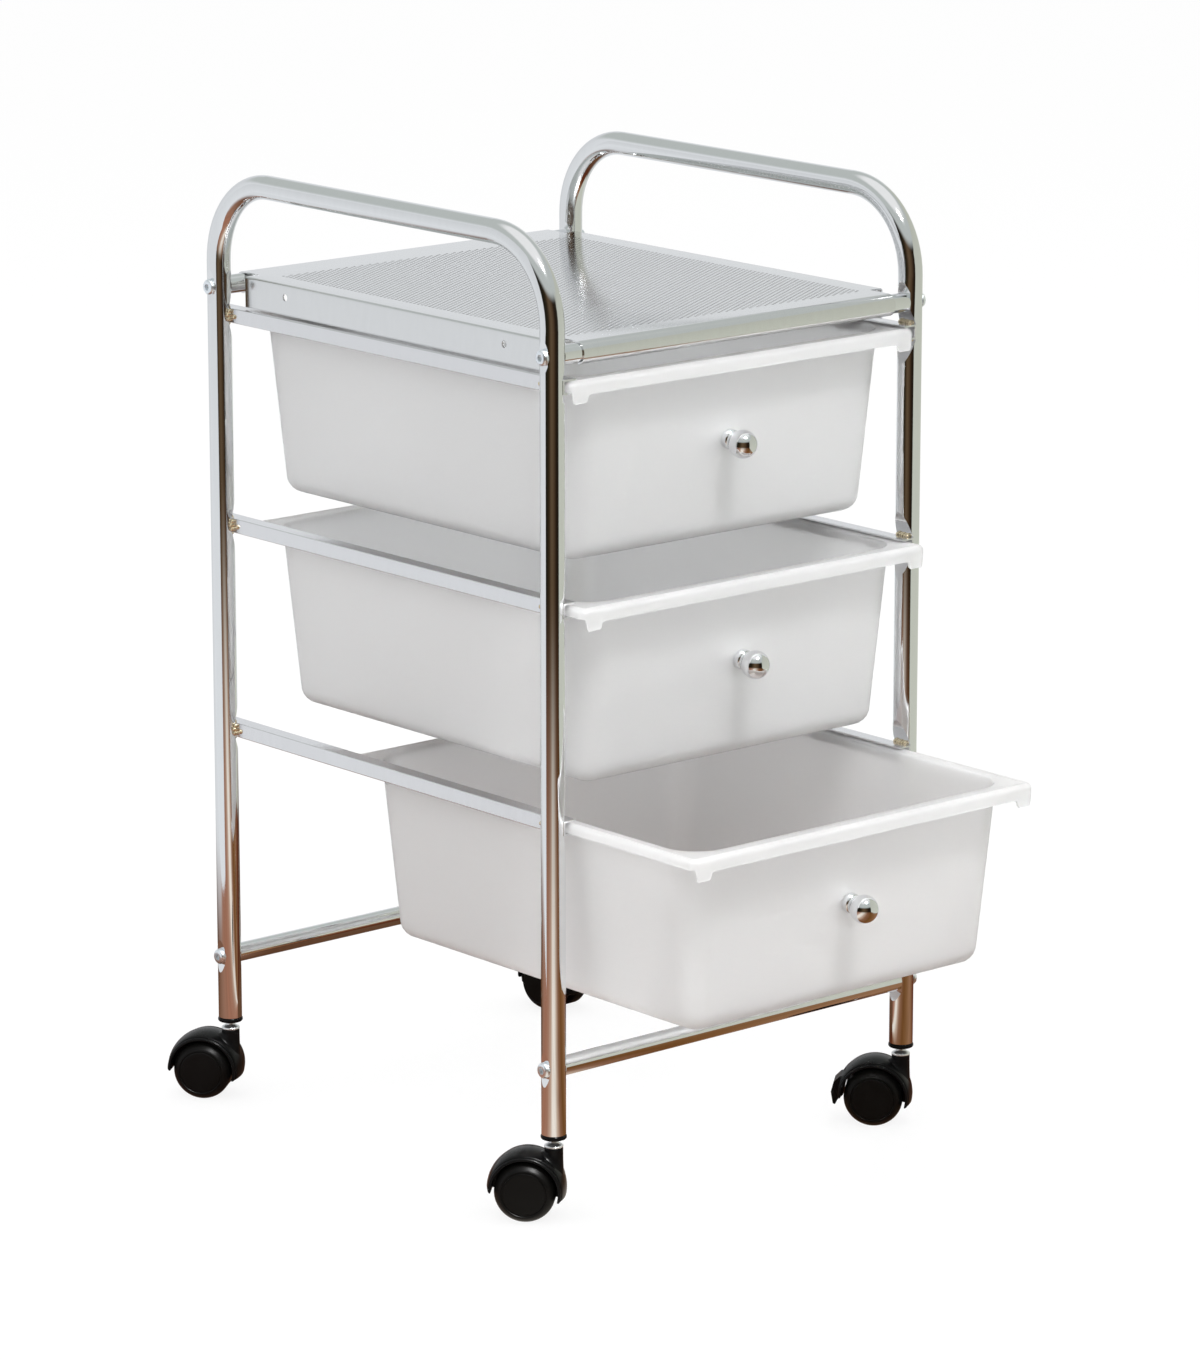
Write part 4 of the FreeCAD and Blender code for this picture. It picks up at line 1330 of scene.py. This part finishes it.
    def _edge(self, inset: float, lift: float) -> list[tuple[float, float, float]]:
        """Ring of the lip's lower edge.

        Args:
            inset: inset of the ring from the rim's outside.
            lift: its height over the lip's depth.

        Returns:
            Its points.
        """
        depths = [self._lip(x, y) for x, y in self._outline((0, 0, 0), self.rim_corner, 0)]
        outline = self._outline((0, 0, 0), self.rim_corner, inset)
        return [(x, y, self.top - deep + lift) for (x, y), deep in zip(outline, depths)]

    def _bin(self, inset: float, height: float) -> list[tuple[float, float, float]]:
        """Ring of the bin at a height over the rim's top face."""
        outline = self._outline(self.bin_insets, self.bin_corner, inset)
        return [(x, y, self.top + height) for x, y in outline]

    def _wall_rings(self, gauge: float) -> list[list[tuple[float, float, float]]]:
        """Rings of one face of the bin, from its foot up.

        Args:
            gauge: distance of the face from the outer one.

        Returns:
            The rings.
        """
        slope = math.tan(math.radians(self.draft))
        radius = self.foot - gauge
        floor_gauge = gauge * 1.12
        start = self.depth - floor_gauge - radius
        rings = []
        for step in range(self.foot_steps + 1):
            out, down = polar(radius, math.radians(90 - 90 * step / self.foot_steps))
            rings.append(self._bin(start * slope + gauge + radius - out, -start - down))
        for share in self.wall_shares:
            rings.append(self._bin(start * share * slope + gauge, -start * share))
        return rings

    def build(self) -> None:
        """Build the drawer, from its inner foot over the rim to its outer foot."""
        node = self.storey + "_drawer"
        rings = self._wall_rings(self.wall)
        rings += [self._bin(self.wall - inset, height) for inset, height in self.mouth]
        rings += [self._rim(inset, height) for inset, height in self.rim_top]
        rings += [self._edge(inset, lift) for inset, lift in self.lip_edge]
        rings += [self._rim(inset, height) for inset, height in self.rim_under]
        rings += [self._bin(inset, height) for inset, height in self.root]
        rings += reversed(self._wall_rings(0.0))
        skin = Skin(self.storey + "_frosted_drawer")
        skin.loft(rings)
        self.piece(skin, (Finish.DRAWER, "frosted_polypropylene"), node, [node], crease=50.0)


@dataclass
class Knob(Assembly):
    """Chromed ball knob on its collar.

    Args:
        storey: which drawer it belongs to.
        ball: radius of the ball.
        ball_steps: rings of the ball.
        tip: radius of the flat spot at the ball's end.
        reach: distance of its middle from the drawer's wall.
        collar: radius of the collar.
        collar_length: length of the collar.
        collar_round: section of its outer edge, as inset and distance from its end.
        chamfer: chamfer of its inner edge.
        waist: radius of the waist behind the ball.
        waist_start: distance of the waist from the collar.
        frame_reach: reach of the ball in the frame.
        frame_ball: radius of the ball in the frame.
        hole: radius of the screw's hole.
        hole_depth: its depth.
        steps: points in a ring.
    """

    storey: str
    ball: float = 0.0094
    ball_steps: int = 40
    tip: float = 0.0001
    reach: float = 0.0142
    collar: float = 0.0067
    collar_length: float = 0.0050
    collar_round: Section = ((0.0, 0.0012), (0.0003, 0.0005), (0.0008, 0.0))
    chamfer: float = 0.0004
    waist: float = 0.0063
    waist_start: float = 0.0006
    frame_reach: float = 0.0205
    frame_ball: float = 0.0080
    hole: float = 0.00205
    hole_depth: float = 0.0140
    steps: int = 64

    def build(self) -> None:
        """Build the knob on the drawer's drafted front."""
        node = self.storey + "_knob"
        low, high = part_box(node)
        centre_x = (low[0] + high[0]) / 2
        frame_middle = Vector((centre_x, low[1] + self.frame_ball, low[2] + self.frame_ball))
        screw = middle(self.storey + "_knob_screw")
        away = (frame_middle - Vector((centre_x, screw.y, screw.z))).normalized()
        seat = frame_middle - away * self.frame_reach
        place = Matrix.Translation(seat) @ away.to_track_quat("Z", "Y").to_matrix().to_4x4()
        profile = [
            (self.hole, self.hole_depth),
            (self.hole, 0.0),
            (self.collar - self.chamfer, 0.0),
            (self.collar, self.chamfer),
        ]
        profile += [
            (self.collar - inset, self.collar_length - back) for inset, back in self.collar_round
        ]
        profile.append((self.waist, self.collar_length + self.waist_start))
        start = math.acos(self.waist / self.ball)
        for step in range(self.ball_steps):
            turn = start - (start + math.pi / 2) * step / self.ball_steps
            radius, back = polar(self.ball, turn)
            profile.append((radius, self.reach - back))
        profile.append((self.tip, self.reach + self.ball))
        skin = Skin(self.storey + "_ball_knob")
        skin.turn(profile, place, self.steps)
        body = self.storey + "_drawer"
        self.piece(skin, (Finish.KNOB, "chromed_knob"), body, [node], crease=50.0)


@dataclass
class FrameBolts(Assembly):
    """Pan-head bolts with hexagonal sockets, through the legs into the tubes.

    Args:
        shank: radius of the shank.
        length: length below the head.
        chamfer: chamfer of the shank's end.
        head: radius of the head.
        head_round: rounding of the head's lower edge, as inset and height.
        height: height of the head.
        dome: section of the head's top, as inset and share of its height.
        socket: distance of the socket's corners from its middle.
        socket_round: rounding of the socket's mouth.
        socket_depth: depth of the socket.
        steps: points in a ring.
    """

    shank: float = 0.0025
    length: float = 0.022
    chamfer: float = 0.0004
    head: float = 0.0052
    head_round: tuple[float, float] = (0.0002, 0.0003)
    height: float = 0.0034
    dome: Section = ((0.0, 0.45), (0.0003, 0.70), (0.0009, 0.88), (0.0016, 0.97), (0.0023, 1.0))
    socket: float = 0.0023
    socket_round: float = 0.0001
    socket_depth: float = 0.0019
    steps: int = 48

    def _socket(self, corner: float, height: float) -> list[tuple[float, float, float]]:
        """Hexagonal ring of the socket.

        Args:
            corner: distance of its corners from its middle.
            height: its height over the head's seat.

        Returns:
            Its points.
        """
        points = []
        for angle in circle(self.steps):
            within = (angle + math.pi / 6) % (math.pi / 3) - math.pi / 6
            reach = corner * math.cos(math.pi / 6) / math.cos(within)
            points.append((*polar(reach, angle), height))
        return points

    def _rings(self) -> list[list[tuple[float, float, float]]]:
        """Rings of one bolt from its tip to the socket's floor, Z outwards.

        Returns:
            The rings.
        """
        inset, rise = self.head_round
        profile = [
            (self.shank - self.chamfer, -self.length),
            (self.shank, -self.length + self.chamfer),
            (self.shank, 0.0),
            (self.head - inset, 0.0),
            (self.head, rise),
        ]
        profile += [(self.head - inset, self.height * share) for inset, share in self.dome]
        turns = circle(self.steps)
        return [[(*polar(radius, angle), z) for angle in turns] for radius, z in profile] + [
            self._socket(self.socket + self.socket_round, self.height),
            self._socket(self.socket, self.height - self.socket_round),
            self._socket(self.socket, self.height - self.socket_depth),
        ]

    def build(self) -> None:
        """Build the eight bolts."""
        low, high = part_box("frame_bolts")
        skin = Skin("pan_head_bolts")
        for side in (-1, 1):
            for y in (low[1] + self.head, high[1] - self.head):
                for z in (low[2] + self.head, high[2] - self.head):
                    seat = Matrix.Translation((side * (high[0] - self.height), y, z))
                    place = seat @ Matrix.Rotation(side * math.pi / 2, 4, "Y")
                    skin.loft([place @ Vector(point) for point in ring] for ring in self._rings())
        self.piece(skin, (Finish.ZINC, "zinc_steel"), "cart_frame", ["frame_bolts"])


@dataclass
class WeldBeads(Assembly):
    """Rippled beads where a storey's rails meet the legs.

    Args:
        storey: which rails.
        radius: radius of a ripple.
        squash: thickness of a ripple as a share of its width.
        ripples: size of each ripple in a bead, as a share of the radius.
        pitch: spacing of the ripples.
        start: distance of a bead's start from its outer end.
        sunk: how far a bead's middle lies inside the rail's outer face.
        level: distance of a bead's middle from the node's top or foot.
        ripple_steps: points in a ripple's ring.
        lump_steps: points in a drop's ring.
        lumps: drops on the web beside a leg: distance from the bead's outer end,
            height, stand-out and radius.
    """

    storey: str
    radius: float = 0.0017
    squash: float = 0.95
    ripples: tuple[float, ...] = (1.0, 0.86, 1.0, 0.86, 1.1)
    pitch: float = 0.0022
    start: float = 0.0008
    sunk: float = 0.0006
    level: float = 0.0013
    ripple_steps: int = 16
    lump_steps: int = 18
    lumps: tuple[tuple[float, float, float, float], ...] = (
        (0.0136, 0.0006, 0.0009, 0.0019),
        (0.0140, -0.0022, 0.0008, 0.0016),
        (0.0144, 0.0030, 0.0007, 0.0015),
        (0.0188, -0.0004, -0.0002, 0.0017),
    )

    @staticmethod
    def _drop(
        skin: Skin, spot: Sequence[float], radius: float, thick: float, steps: int
    ) -> None:
        """Add one drop of weld metal, turned about Y.

        Args:
            skin: the mesh that receives it.
            spot: its middle.
            radius: its radius.
            thick: half of its thickness.
            steps: points in a ring.
        """
        dome = [math.radians(-80 + 20 * step) for step in range(9)]
        profile = [(radius * math.cos(turn), thick * math.sin(turn)) for turn in dome]
        place = Matrix.Translation(spot) @ Matrix.Rotation(math.pi / 2, 4, "X")
        skin.turn(profile, place, steps)

    def build(self) -> None:
        """Build the eight beads."""
        node = self.storey + "_rail_welds"
        low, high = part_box(node)
        skin = Skin(self.storey + "_weld_beads")
        for side in (-1, 1):
            x = side * (high[0] - self.sunk)
            for y_edge, inward in ((low[1], 1), (high[1], -1)):
                for along, height, out, radius in self.lumps:
                    z = (low[2] + high[2]) / 2 + height
                    spot = (side * (high[0] + out), y_edge + inward * along, z)
                    self._drop(skin, spot, radius, radius, self.lump_steps)
                for z in (low[2] + self.level, high[2] - self.level):
                    for index, share in enumerate(self.ripples):
                        size = self.radius * share
                        along = self.start + self.pitch * (index + 0.5)
                        spot = (x, y_edge + inward * along, z)
                        self._drop(skin, spot, size, size * self.squash, self.ripple_steps)
        self.piece(skin, (Finish.WELD, "weld_metal"), "cart_frame", [node], crease=80.0)


@dataclass
class Caster(Assembly):
    """Twin-wheel caster: arched hood, two wheels, stem and leg plug.

    Shapes are drawn about the wheel axle: X trails away from the stem, Y is
    the axle, Z is up. Sizes are in metres.

    Args:
        corner: which leg it stands under.
        braked: whether the hood leaves a slot for a brake lever.
        trail: distance from the stem to the axle.
        room: inner radius of the arch.
        crown: outer radius of the arch in the middle.
        edge: outer radius of the arch at its sides.
        half_width: half of the hood's width.
        bead_start: distance of the bead along each side of the arch from that side.
        groove: section of the groove beside the bead, as run and rise.
        brim: section of the bead's outer edge, as inset and rise.
        inner_edge: section of the arch's inner edge, as inset and rise.
        end_round: rounding of the arch's ends.
        trailing: reach of the arch behind the stem, in degrees.
        leading: reach of the arch below the stem, in degrees.
        slot_start: where the slot for the lever starts, in degrees.
        slot_lap: how far the arms beside it reach into the arch, in degrees.
        slot_half: half of the slot's width.
        web_half: half of the web's thickness.
        web_radius: radius of the web where the lever turns.
        web_inset: distance of the web from the arch's ends, in degrees.
        hub: radius of the hub round the axle.
        boss: radius of the foot of the stem's boss.
        boss_shares: rings of the boss, from its foot up.
        sunk: how far the boss and the web reach into the arch.
        neck: radius of the neck.
        neck_low: height of the neck's foot over the axle.
        neck_top: height of the neck's top over the axle.
        neck_round: section of its upper edge, as inset and distance from its top.
        wheel: radius of a wheel.
        wheel_in: inner face of a wheel.
        wheel_out: outermost face of a wheel.
        wheel_round: section of its inner edge, as inset and distance from the face.
        shoulder: section of its outer edge and ring, as insets from both.
        dome: radius of the wheel's domed face.
        dome_drop: how far the dome falls to its edge.
        bore: radius of a wheel's bore.
        bore_end: end of a wheel's bore.
        stem: radius of the stem.
        stem_fillet: section of the stem's foot over its collar, as run and rise.
        stem_chamfer: chamfer of the stem's lower and upper end.
        collar: radius of the stem's collar.
        collar_lift: distance of the collar from the neck.
        collar_dome: section of the collar, as inset and height.
        plug_room: radial room of the stem in its plug.
        plug_rim: distance of the plug's rim below the node's foot.
        plug_ring: section of the plug's flange, as inset and height.
        plug_seat: height of its shoulder over the node's foot.
        plug_body: inset of the plug's body from its flange.
        plug_chamfer: chamfer of the plug's top.
        boss_steps: points in a ring of the boss.
        wheel_steps: points in a ring of a wheel.
        stem_steps: points in a ring of the stem.
        plug_steps: points in a ring of the plug.
    """

    corner: str
    braked: bool = False
    trail: float = 0.0175
    room: float = 0.0218
    crown: float = 0.0258
    edge: float = 0.0230
    half_width: float = 0.0158
    bead_start: float = 0.0038
    groove: Section = (
        (0.0006, 0.0002),
        (0.0008, -0.0004),
        (0.0011, -0.0006),
        (0.0014, -0.0004),
        (0.0017, 0.0002),
        (0.0021, 0.0006),
        (0.0027, 0.0008),
    )
    brim: Section = ((0.0006, 0.0006), (0.0002, 0.0001), (0.0, -0.0005))
    inner_edge: Section = ((0.0001, 0.0002), (0.0005, 0.0))
    end_round: float = 0.0024
    trailing: float = 92.0
    leading: float = 106.0
    slot_start: float = 50.0
    slot_lap: float = 4.0
    slot_half: float = 0.008
    web_half: float = 0.0027
    web_radius: float = 0.0196
    web_inset: float = 1.5
    hub: float = 0.006
    boss: float = 0.0098
    boss_shares: tuple[float, ...] = (0.0, 0.08, 0.18, 0.3, 0.42, 0.55, 0.68, 0.8, 0.9, 1.0)
    sunk: float = 0.0006
    neck: float = 0.0061
    neck_low: float = 0.0256
    neck_top: float = 0.0276
    neck_round: Section = ((0.0, 0.0008), (0.0001, 0.0004), (0.0004, 0.0001), (0.0007, 0.0))
    wheel: float = 0.020
    wheel_in: float = 0.0032
    wheel_out: float = 0.0178
    wheel_round: Section = ((0.0010, 0.0), (0.0003, 0.0003), (0.0, 0.0010))
    shoulder: Section = (
        (0.0, 0.0064),
        (0.0003, 0.0053),
        (0.0011, 0.0038),
        (0.0020, 0.0025),
        (0.0028, 0.0016),
        (0.0034, 0.0010),
        (0.0040, 0.0005),
        (0.0046, 0.0002),
        (0.0050, 0.0001),
        (0.0053, 0.0005),
        (0.0056, 0.0006),
        (0.0059, 0.0004),
        (0.0062, 0.0002),
        (0.0068, 0.0001),
    )
    dome: float = 0.0130
    dome_drop: float = 0.0001
    bore: float = 0.00256
    bore_end: float = 0.0145
    stem: float = 0.003
    stem_fillet: Section = ((0.0004, 0.0028), (0.0, 0.0034))
    stem_chamfer: tuple[float, float] = (0.0004, 0.0010)
    collar: float = 0.0062
    collar_lift: float = 0.0001
    collar_dome: Section = (
        (0.0003, 0.0),
        (0.0, 0.0003),
        (0.0, 0.0010),
        (0.0003, 0.0014),
        (0.0010, 0.0018),
        (0.0020, 0.0023),
    )
    plug_room: float = 0.00008
    plug_rim: float = 0.0012
    plug_ring: Section = (
        (0.0013, 0.0),
        (0.0006, 0.0003),
        (0.0001, 0.0009),
        (0.0, 0.0016),
        (0.0001, 0.0023),
        (0.0005, 0.0029),
        (0.0010, 0.0032),
    )
    plug_seat: float = 0.0022
    plug_body: float = 0.0017
    plug_chamfer: float = 0.0005
    boss_steps: int = 56
    wheel_steps: int = 72
    stem_steps: int = 40
    plug_steps: int = 56

    def __post_init__(self) -> None:
        """Find the axle and the way the hood trails from the nodes' boxes."""
        self.axle = middle(self.corner + "_caster_axle")
        self.foot = middle(self.corner + "_caster_stem")
        away = self.axle - self.foot
        heading = math.atan2(away.y, away.x)
        self.frame = Matrix.Translation(self.axle) @ Matrix.Rotation(heading, 4, "Z")
        self.upright = Matrix.Translation((self.foot.x, self.foot.y, 0.0))
        self.body = self.corner + "_caster"

    def _crown_at(self, w: float) -> float:
        """Outer radius of the arch.

        Args:
            w: distance from its middle, along the axle.

        Returns:
            The radius.
        """
        rise = self.crown - self.edge
        arc = (self.half_width ** 2 + rise ** 2) / (2 * rise)
        return self.crown - arc + math.sqrt(arc ** 2 - w ** 2)

    def _side(self) -> list[tuple[float, float]]:
        """Section of one side of the arch, from its crown to its inner edge.

        Returns:
            Its points, as (w, radius).
        """
        half = self.half_width
        start = half - self.bead_start
        points = [(start * share, self._crown_at(start * share)) for share in (0.3, 0.55, 0.8, 1)]
        points.append((start + 0.0004, self._crown_at(start) - 0.0003))
        points += [(start + run, self.edge + rise) for run, rise in self.groove]
        points += [(half - inset, self.edge + rise) for inset, rise in self.brim]
        return points + [(half - inset, self.room + rise) for inset, rise in self.inner_edge]

    def _sweep(
        self,
        skin: Skin,
        section: Sequence[tuple[float, float]],
        start: float,
        end: float,
        rounded: tuple[bool, bool],
    ) -> None:
        """Add a section swept about the axle.

        Args:
            skin: the mesh that receives it.
            section: closed section, as (w, radius).
            start: first angle from the upright, in degrees.
            end: last angle.
            rounded: whether each end is rounded.
        """
        rings = []
        centre = self.room + 0.0003
        for share in self._stations(rounded):
            angle = math.radians(start + (end - start) * share)
            shrink = self._end_shrink(share, math.radians(end - start), rounded)
            ring = []
            for w, radius in section:
                z, x = polar(centre + (radius - centre) * (1 - shrink), angle)
                ring.append(self.frame @ Vector((x, w * (1 - 0.10 * shrink ** 2), z)))
            rings.append(ring)
        skin.loft(rings)

    @staticmethod
    def _stations(rounded: tuple[bool, bool]) -> list[float]:
        """Where the rings of a sweep stand, closer together at rounded ends.

        Args:
            rounded: whether each end is rounded.

        Returns:
            Shares of the sweep, from 0 to 1.
        """
        close = [0.0, 0.002, 0.006, 0.012, 0.020, 0.032]
        between = [0.032 + 0.936 * step / 44 for step in range(1, 44)]
        low = close if rounded[0] else [0.0, 0.032]
        high = [1 - share for share in reversed(close)] if rounded[1] else [0.968, 1.0]
        return low + between + high

    def _end_shrink(self, share: float, turn: float, rounded: tuple[bool, bool]) -> float:
        """How far a section is drawn in near a rounded end.

        Args:
            share: place along the sweep.
            turn: angle of the whole sweep, in radians.
            rounded: whether each end is rounded.

        Returns:
            Nought away from the ends, up to 0.96 at an end.
        """
        length = turn * self.edge
        shrink = 0.0
        for is_round, distance in zip(rounded, (share * length, (1 - share) * length)):
            if is_round and distance < self.end_round:
                away = 1 - distance / self.end_round
                shrink = max(shrink, 1 - math.sqrt(max(1 - away ** 2, 0.0)))
        return min(shrink, 0.96)

    def _arch(self, skin: Skin) -> None:
        """Add the arch, split into two arms round a lever's slot.

        Args:
            skin: the mesh that receives it.
        """
        side = self._side()
        inner = [(share * side[-1][0], self.room) for share in (0.6, 0.0, -0.6)]
        whole = [(-w, radius) for w, radius in reversed(side)] + [(0.0, self.crown)] + side + inner
        if not self.braked:
            self._sweep(skin, whole, -self.leading, self.trailing, (True, True))
            return
        self._sweep(skin, whole, -self.leading, self.slot_start, (True, False))
        cut = self.slot_half
        arm = [(cut, self.room), (cut, self._crown_at(cut))]
        arm += [(w, radius) for w, radius in side if w > cut + 0.0004]
        for sign in (-1, 1):
            section = [(sign * w, radius) for w, radius in arm]
            lapped = self.slot_start - self.slot_lap
            self._sweep(skin, section, lapped, self.trailing, (False, True))

    def _web(self, skin: Skin) -> None:
        """Add the web between the wheels, from the arch to round the axle.

        Args:
            skin: the mesh that receives it.
        """
        outline = []
        steps, hub_steps = 48, 16
        after, before = 20, 18
        span = self.leading + self.trailing
        for step in range(steps + 1):
            turn = -self.leading + self.web_inset + (span - 2 * self.web_inset) * step / steps
            radius = self.room + self.sunk
            if self.braked and turn > self.slot_start - self.slot_lap:
                radius = self.web_radius
            outline.append(polar(radius, math.radians(turn)))
        for step in range(hub_steps + 1):
            turn = self.trailing + after + (360 - after - before - span) * step / hub_steps
            outline.append(polar(self.hub, math.radians(turn)))
        skin.loft(
            [self.frame @ Vector((x, w, z)) for z, x in outline]
            for w in (-self.web_half, self.web_half)
        )

    def _boss(self, skin: Skin) -> None:
        """Add the boss that flares from the arch up to the stem's neck.

        Args:
            skin: the mesh that receives it.
        """
        limit = self.crown - 2 * self.sunk - self.trail
        feet = []
        for angle in circle(self.boss_steps):
            cosine, sine = polar(1.0, angle)
            reach = self.boss
            if cosine < 0 and -cosine * reach > limit:
                reach = limit / -cosine
            reach = max(reach, self.neck + 0.0006)
            over = self._crown_at(reach * sine) ** 2 - (reach * cosine - self.trail) ** 2
            feet.append((cosine, sine, reach, math.sqrt(max(over, 0.0)) - self.sunk))
        rings = []
        for share in self.boss_shares:
            quarter = math.radians(90 * share)
            ring = []
            for cosine, sine, reach, foot in feet:
                radius = self.neck + (reach - self.neck) * (1 - math.sin(quarter))
                height = foot + (self.neck_low - foot) * (1 - math.cos(quarter))
                ring.append((-self.trail + radius * cosine, radius * sine, height))
            rings.append(ring)
        for inset, drop in self.neck_round:
            radius, height = self.neck - inset, self.neck_top - drop
            rings.append([(-self.trail + radius * c, radius * s, height) for c, s, _, _ in feet])
        skin.loft([self.frame @ Vector(point) for point in ring] for ring in rings)

    def hood(self) -> None:
        """Build the hood."""
        skin = Skin(self.corner + "_moulded_hood")
        self._arch(skin)
        self._web(skin)
        self._boss(skin)
        node = self.corner + "_caster_hood"
        self.piece(skin, (Finish.HOOD, "black_nylon"), self.body, [node], crease=44.0)

    def wheels(self) -> None:
        """Build both wheels: a glossy ring round a domed, grained face."""
        profile = [(self.bore, self.bore_end), (self.bore, self.wheel_in)]
        profile += [
            (self.wheel - inset, self.wheel_in + back) for inset, back in self.wheel_round
        ]
        profile += [(self.wheel - inset, self.wheel_out - back) for inset, back in self.shoulder]
        profile += [
            (self.dome * share, self.wheel_out - self.dome_drop * share ** 2)
            for share in (0.8, 0.5, 0.2)
        ]
        for node in (self.corner + "_inner_wheel", self.corner + "_outer_wheel"):
            side = (self.frame.inverted() @ middle(node)).y
            facing = Matrix.Rotation(math.copysign(math.pi / 2, -side), 4, "X")
            skin = Skin(node.replace("_wheel", "_moulded_wheel"))
            skin.turn(profile, self.frame @ facing, self.wheel_steps)
            self.piece(skin, (Finish.WHEEL, "black_wheel_nylon"), node, [node], crease=50.0)

    def collared_stem(self) -> None:
        """Build the stem with its domed collar."""
        node = self.corner + "_caster_stem"
        low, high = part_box(node)
        base = self.axle.z + self.neck_top + self.collar_lift
        lower, upper = self.stem_chamfer
        profile = [
            (self.stem - lower, low[2]),
            (self.stem, low[2] + lower),
            (self.stem, base),
        ]
        profile += [(self.collar - inset, base + rise) for inset, rise in self.collar_dome]
        profile += [(self.stem + run, base + rise) for run, rise in self.stem_fillet]
        profile += [(self.stem, high[2] - upper), (self.stem - upper, high[2])]
        skin = Skin(self.corner + "_collared_stem")
        skin.turn(profile, self.upright, self.stem_steps)
        self.piece(skin, (Finish.STEM, "chromed_stem"), self.body, [node], crease=40.0)

    def leg_plug(self) -> None:
        """Build the ringed plug in the leg's end."""
        node = self.corner + "_leg_plug"
        low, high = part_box(node)
        flange = high[0] - self.foot.x
        inside = self.stem + self.plug_room
        seat = low[2] + self.plug_seat
        rim = low[2] - self.plug_rim
        profile = [
            (inside, high[2] - 0.003),
            (inside, rim + 0.0002),
            (self.stem + 0.0003, rim),
        ]
        profile += [(flange - inset, rim + rise) for inset, rise in self.plug_ring]
        body = flange - self.plug_body
        profile += [
            (flange - 0.0012, seat),
            (body, seat),
            (body, high[2] - self.plug_chamfer),
            (body - self.plug_chamfer, high[2]),
        ]
        skin = Skin(self.corner + "_ringed_plug")
        skin.turn(profile, self.upright, self.plug_steps)
        self.piece(skin, (Finish.PLUG, "black_nylon"), "cart_frame", [node], crease=50.0)

    def build(self) -> None:
        """Build the caster's visible pieces."""
        self.hood()
        self.wheels()
        self.collared_stem()
        self.leg_plug()


@dataclass
class CarriedOver(Assembly):
    """CAD pieces whose shape stays: only their finish is set.

    Args:
        finishes: finish of each group of nodes, by the end or a part of the name.
    """

    finishes: dict[str, Finish] = field(
        default_factory=lambda: {
            "side_frame": Finish.TUBE,
            "cross_tube": Finish.TUBE,
            "_rail": Finish.RAIL,
            "threaded_inserts": Finish.ZINC,
            "knob_screw": Finish.ZINC,
            "caster_axle": Finish.ZINC,
            "brake_lever": Finish.HOOD,
        }
    )

    def build(self, nodes: dict[str, bpy.types.Object]) -> None:
        """Dress every node that is still shown.

        Args:
            nodes: the frame's nodes.
        """
        for name, item in nodes.items():
            if item.hide_render:
                continue
            match = next((part for part in self.finishes if name.endswith(part)), None)
            match = match or next((part for part in self.finishes if part in name), None)
            if match is not None:
                self.palette.dress(item, self.finishes[match])
                log.info("%s: %s", name, self.finishes[match].value.name)


def main() -> None:
    """Build the scene in order."""
    logging.basicConfig(level=logging.INFO, format="%(message)s")
    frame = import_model()
    palette = Palette()
    PerforatedShelf(palette).build()
    for storey in ("top", "middle", "bottom"):
        Drawer(palette, storey).build()
        Knob(palette, storey).build()
        WeldBeads(palette, storey).build()
    FrameBolts(palette).build()
    for corner in ("front_left", "front_right", "rear_left", "rear_right"):
        Caster(palette, corner, braked="right" in corner).build()
    CarriedOver(palette).build(frame["nodes"])
    Studio().build()


if __name__ == "__main__":
    main()
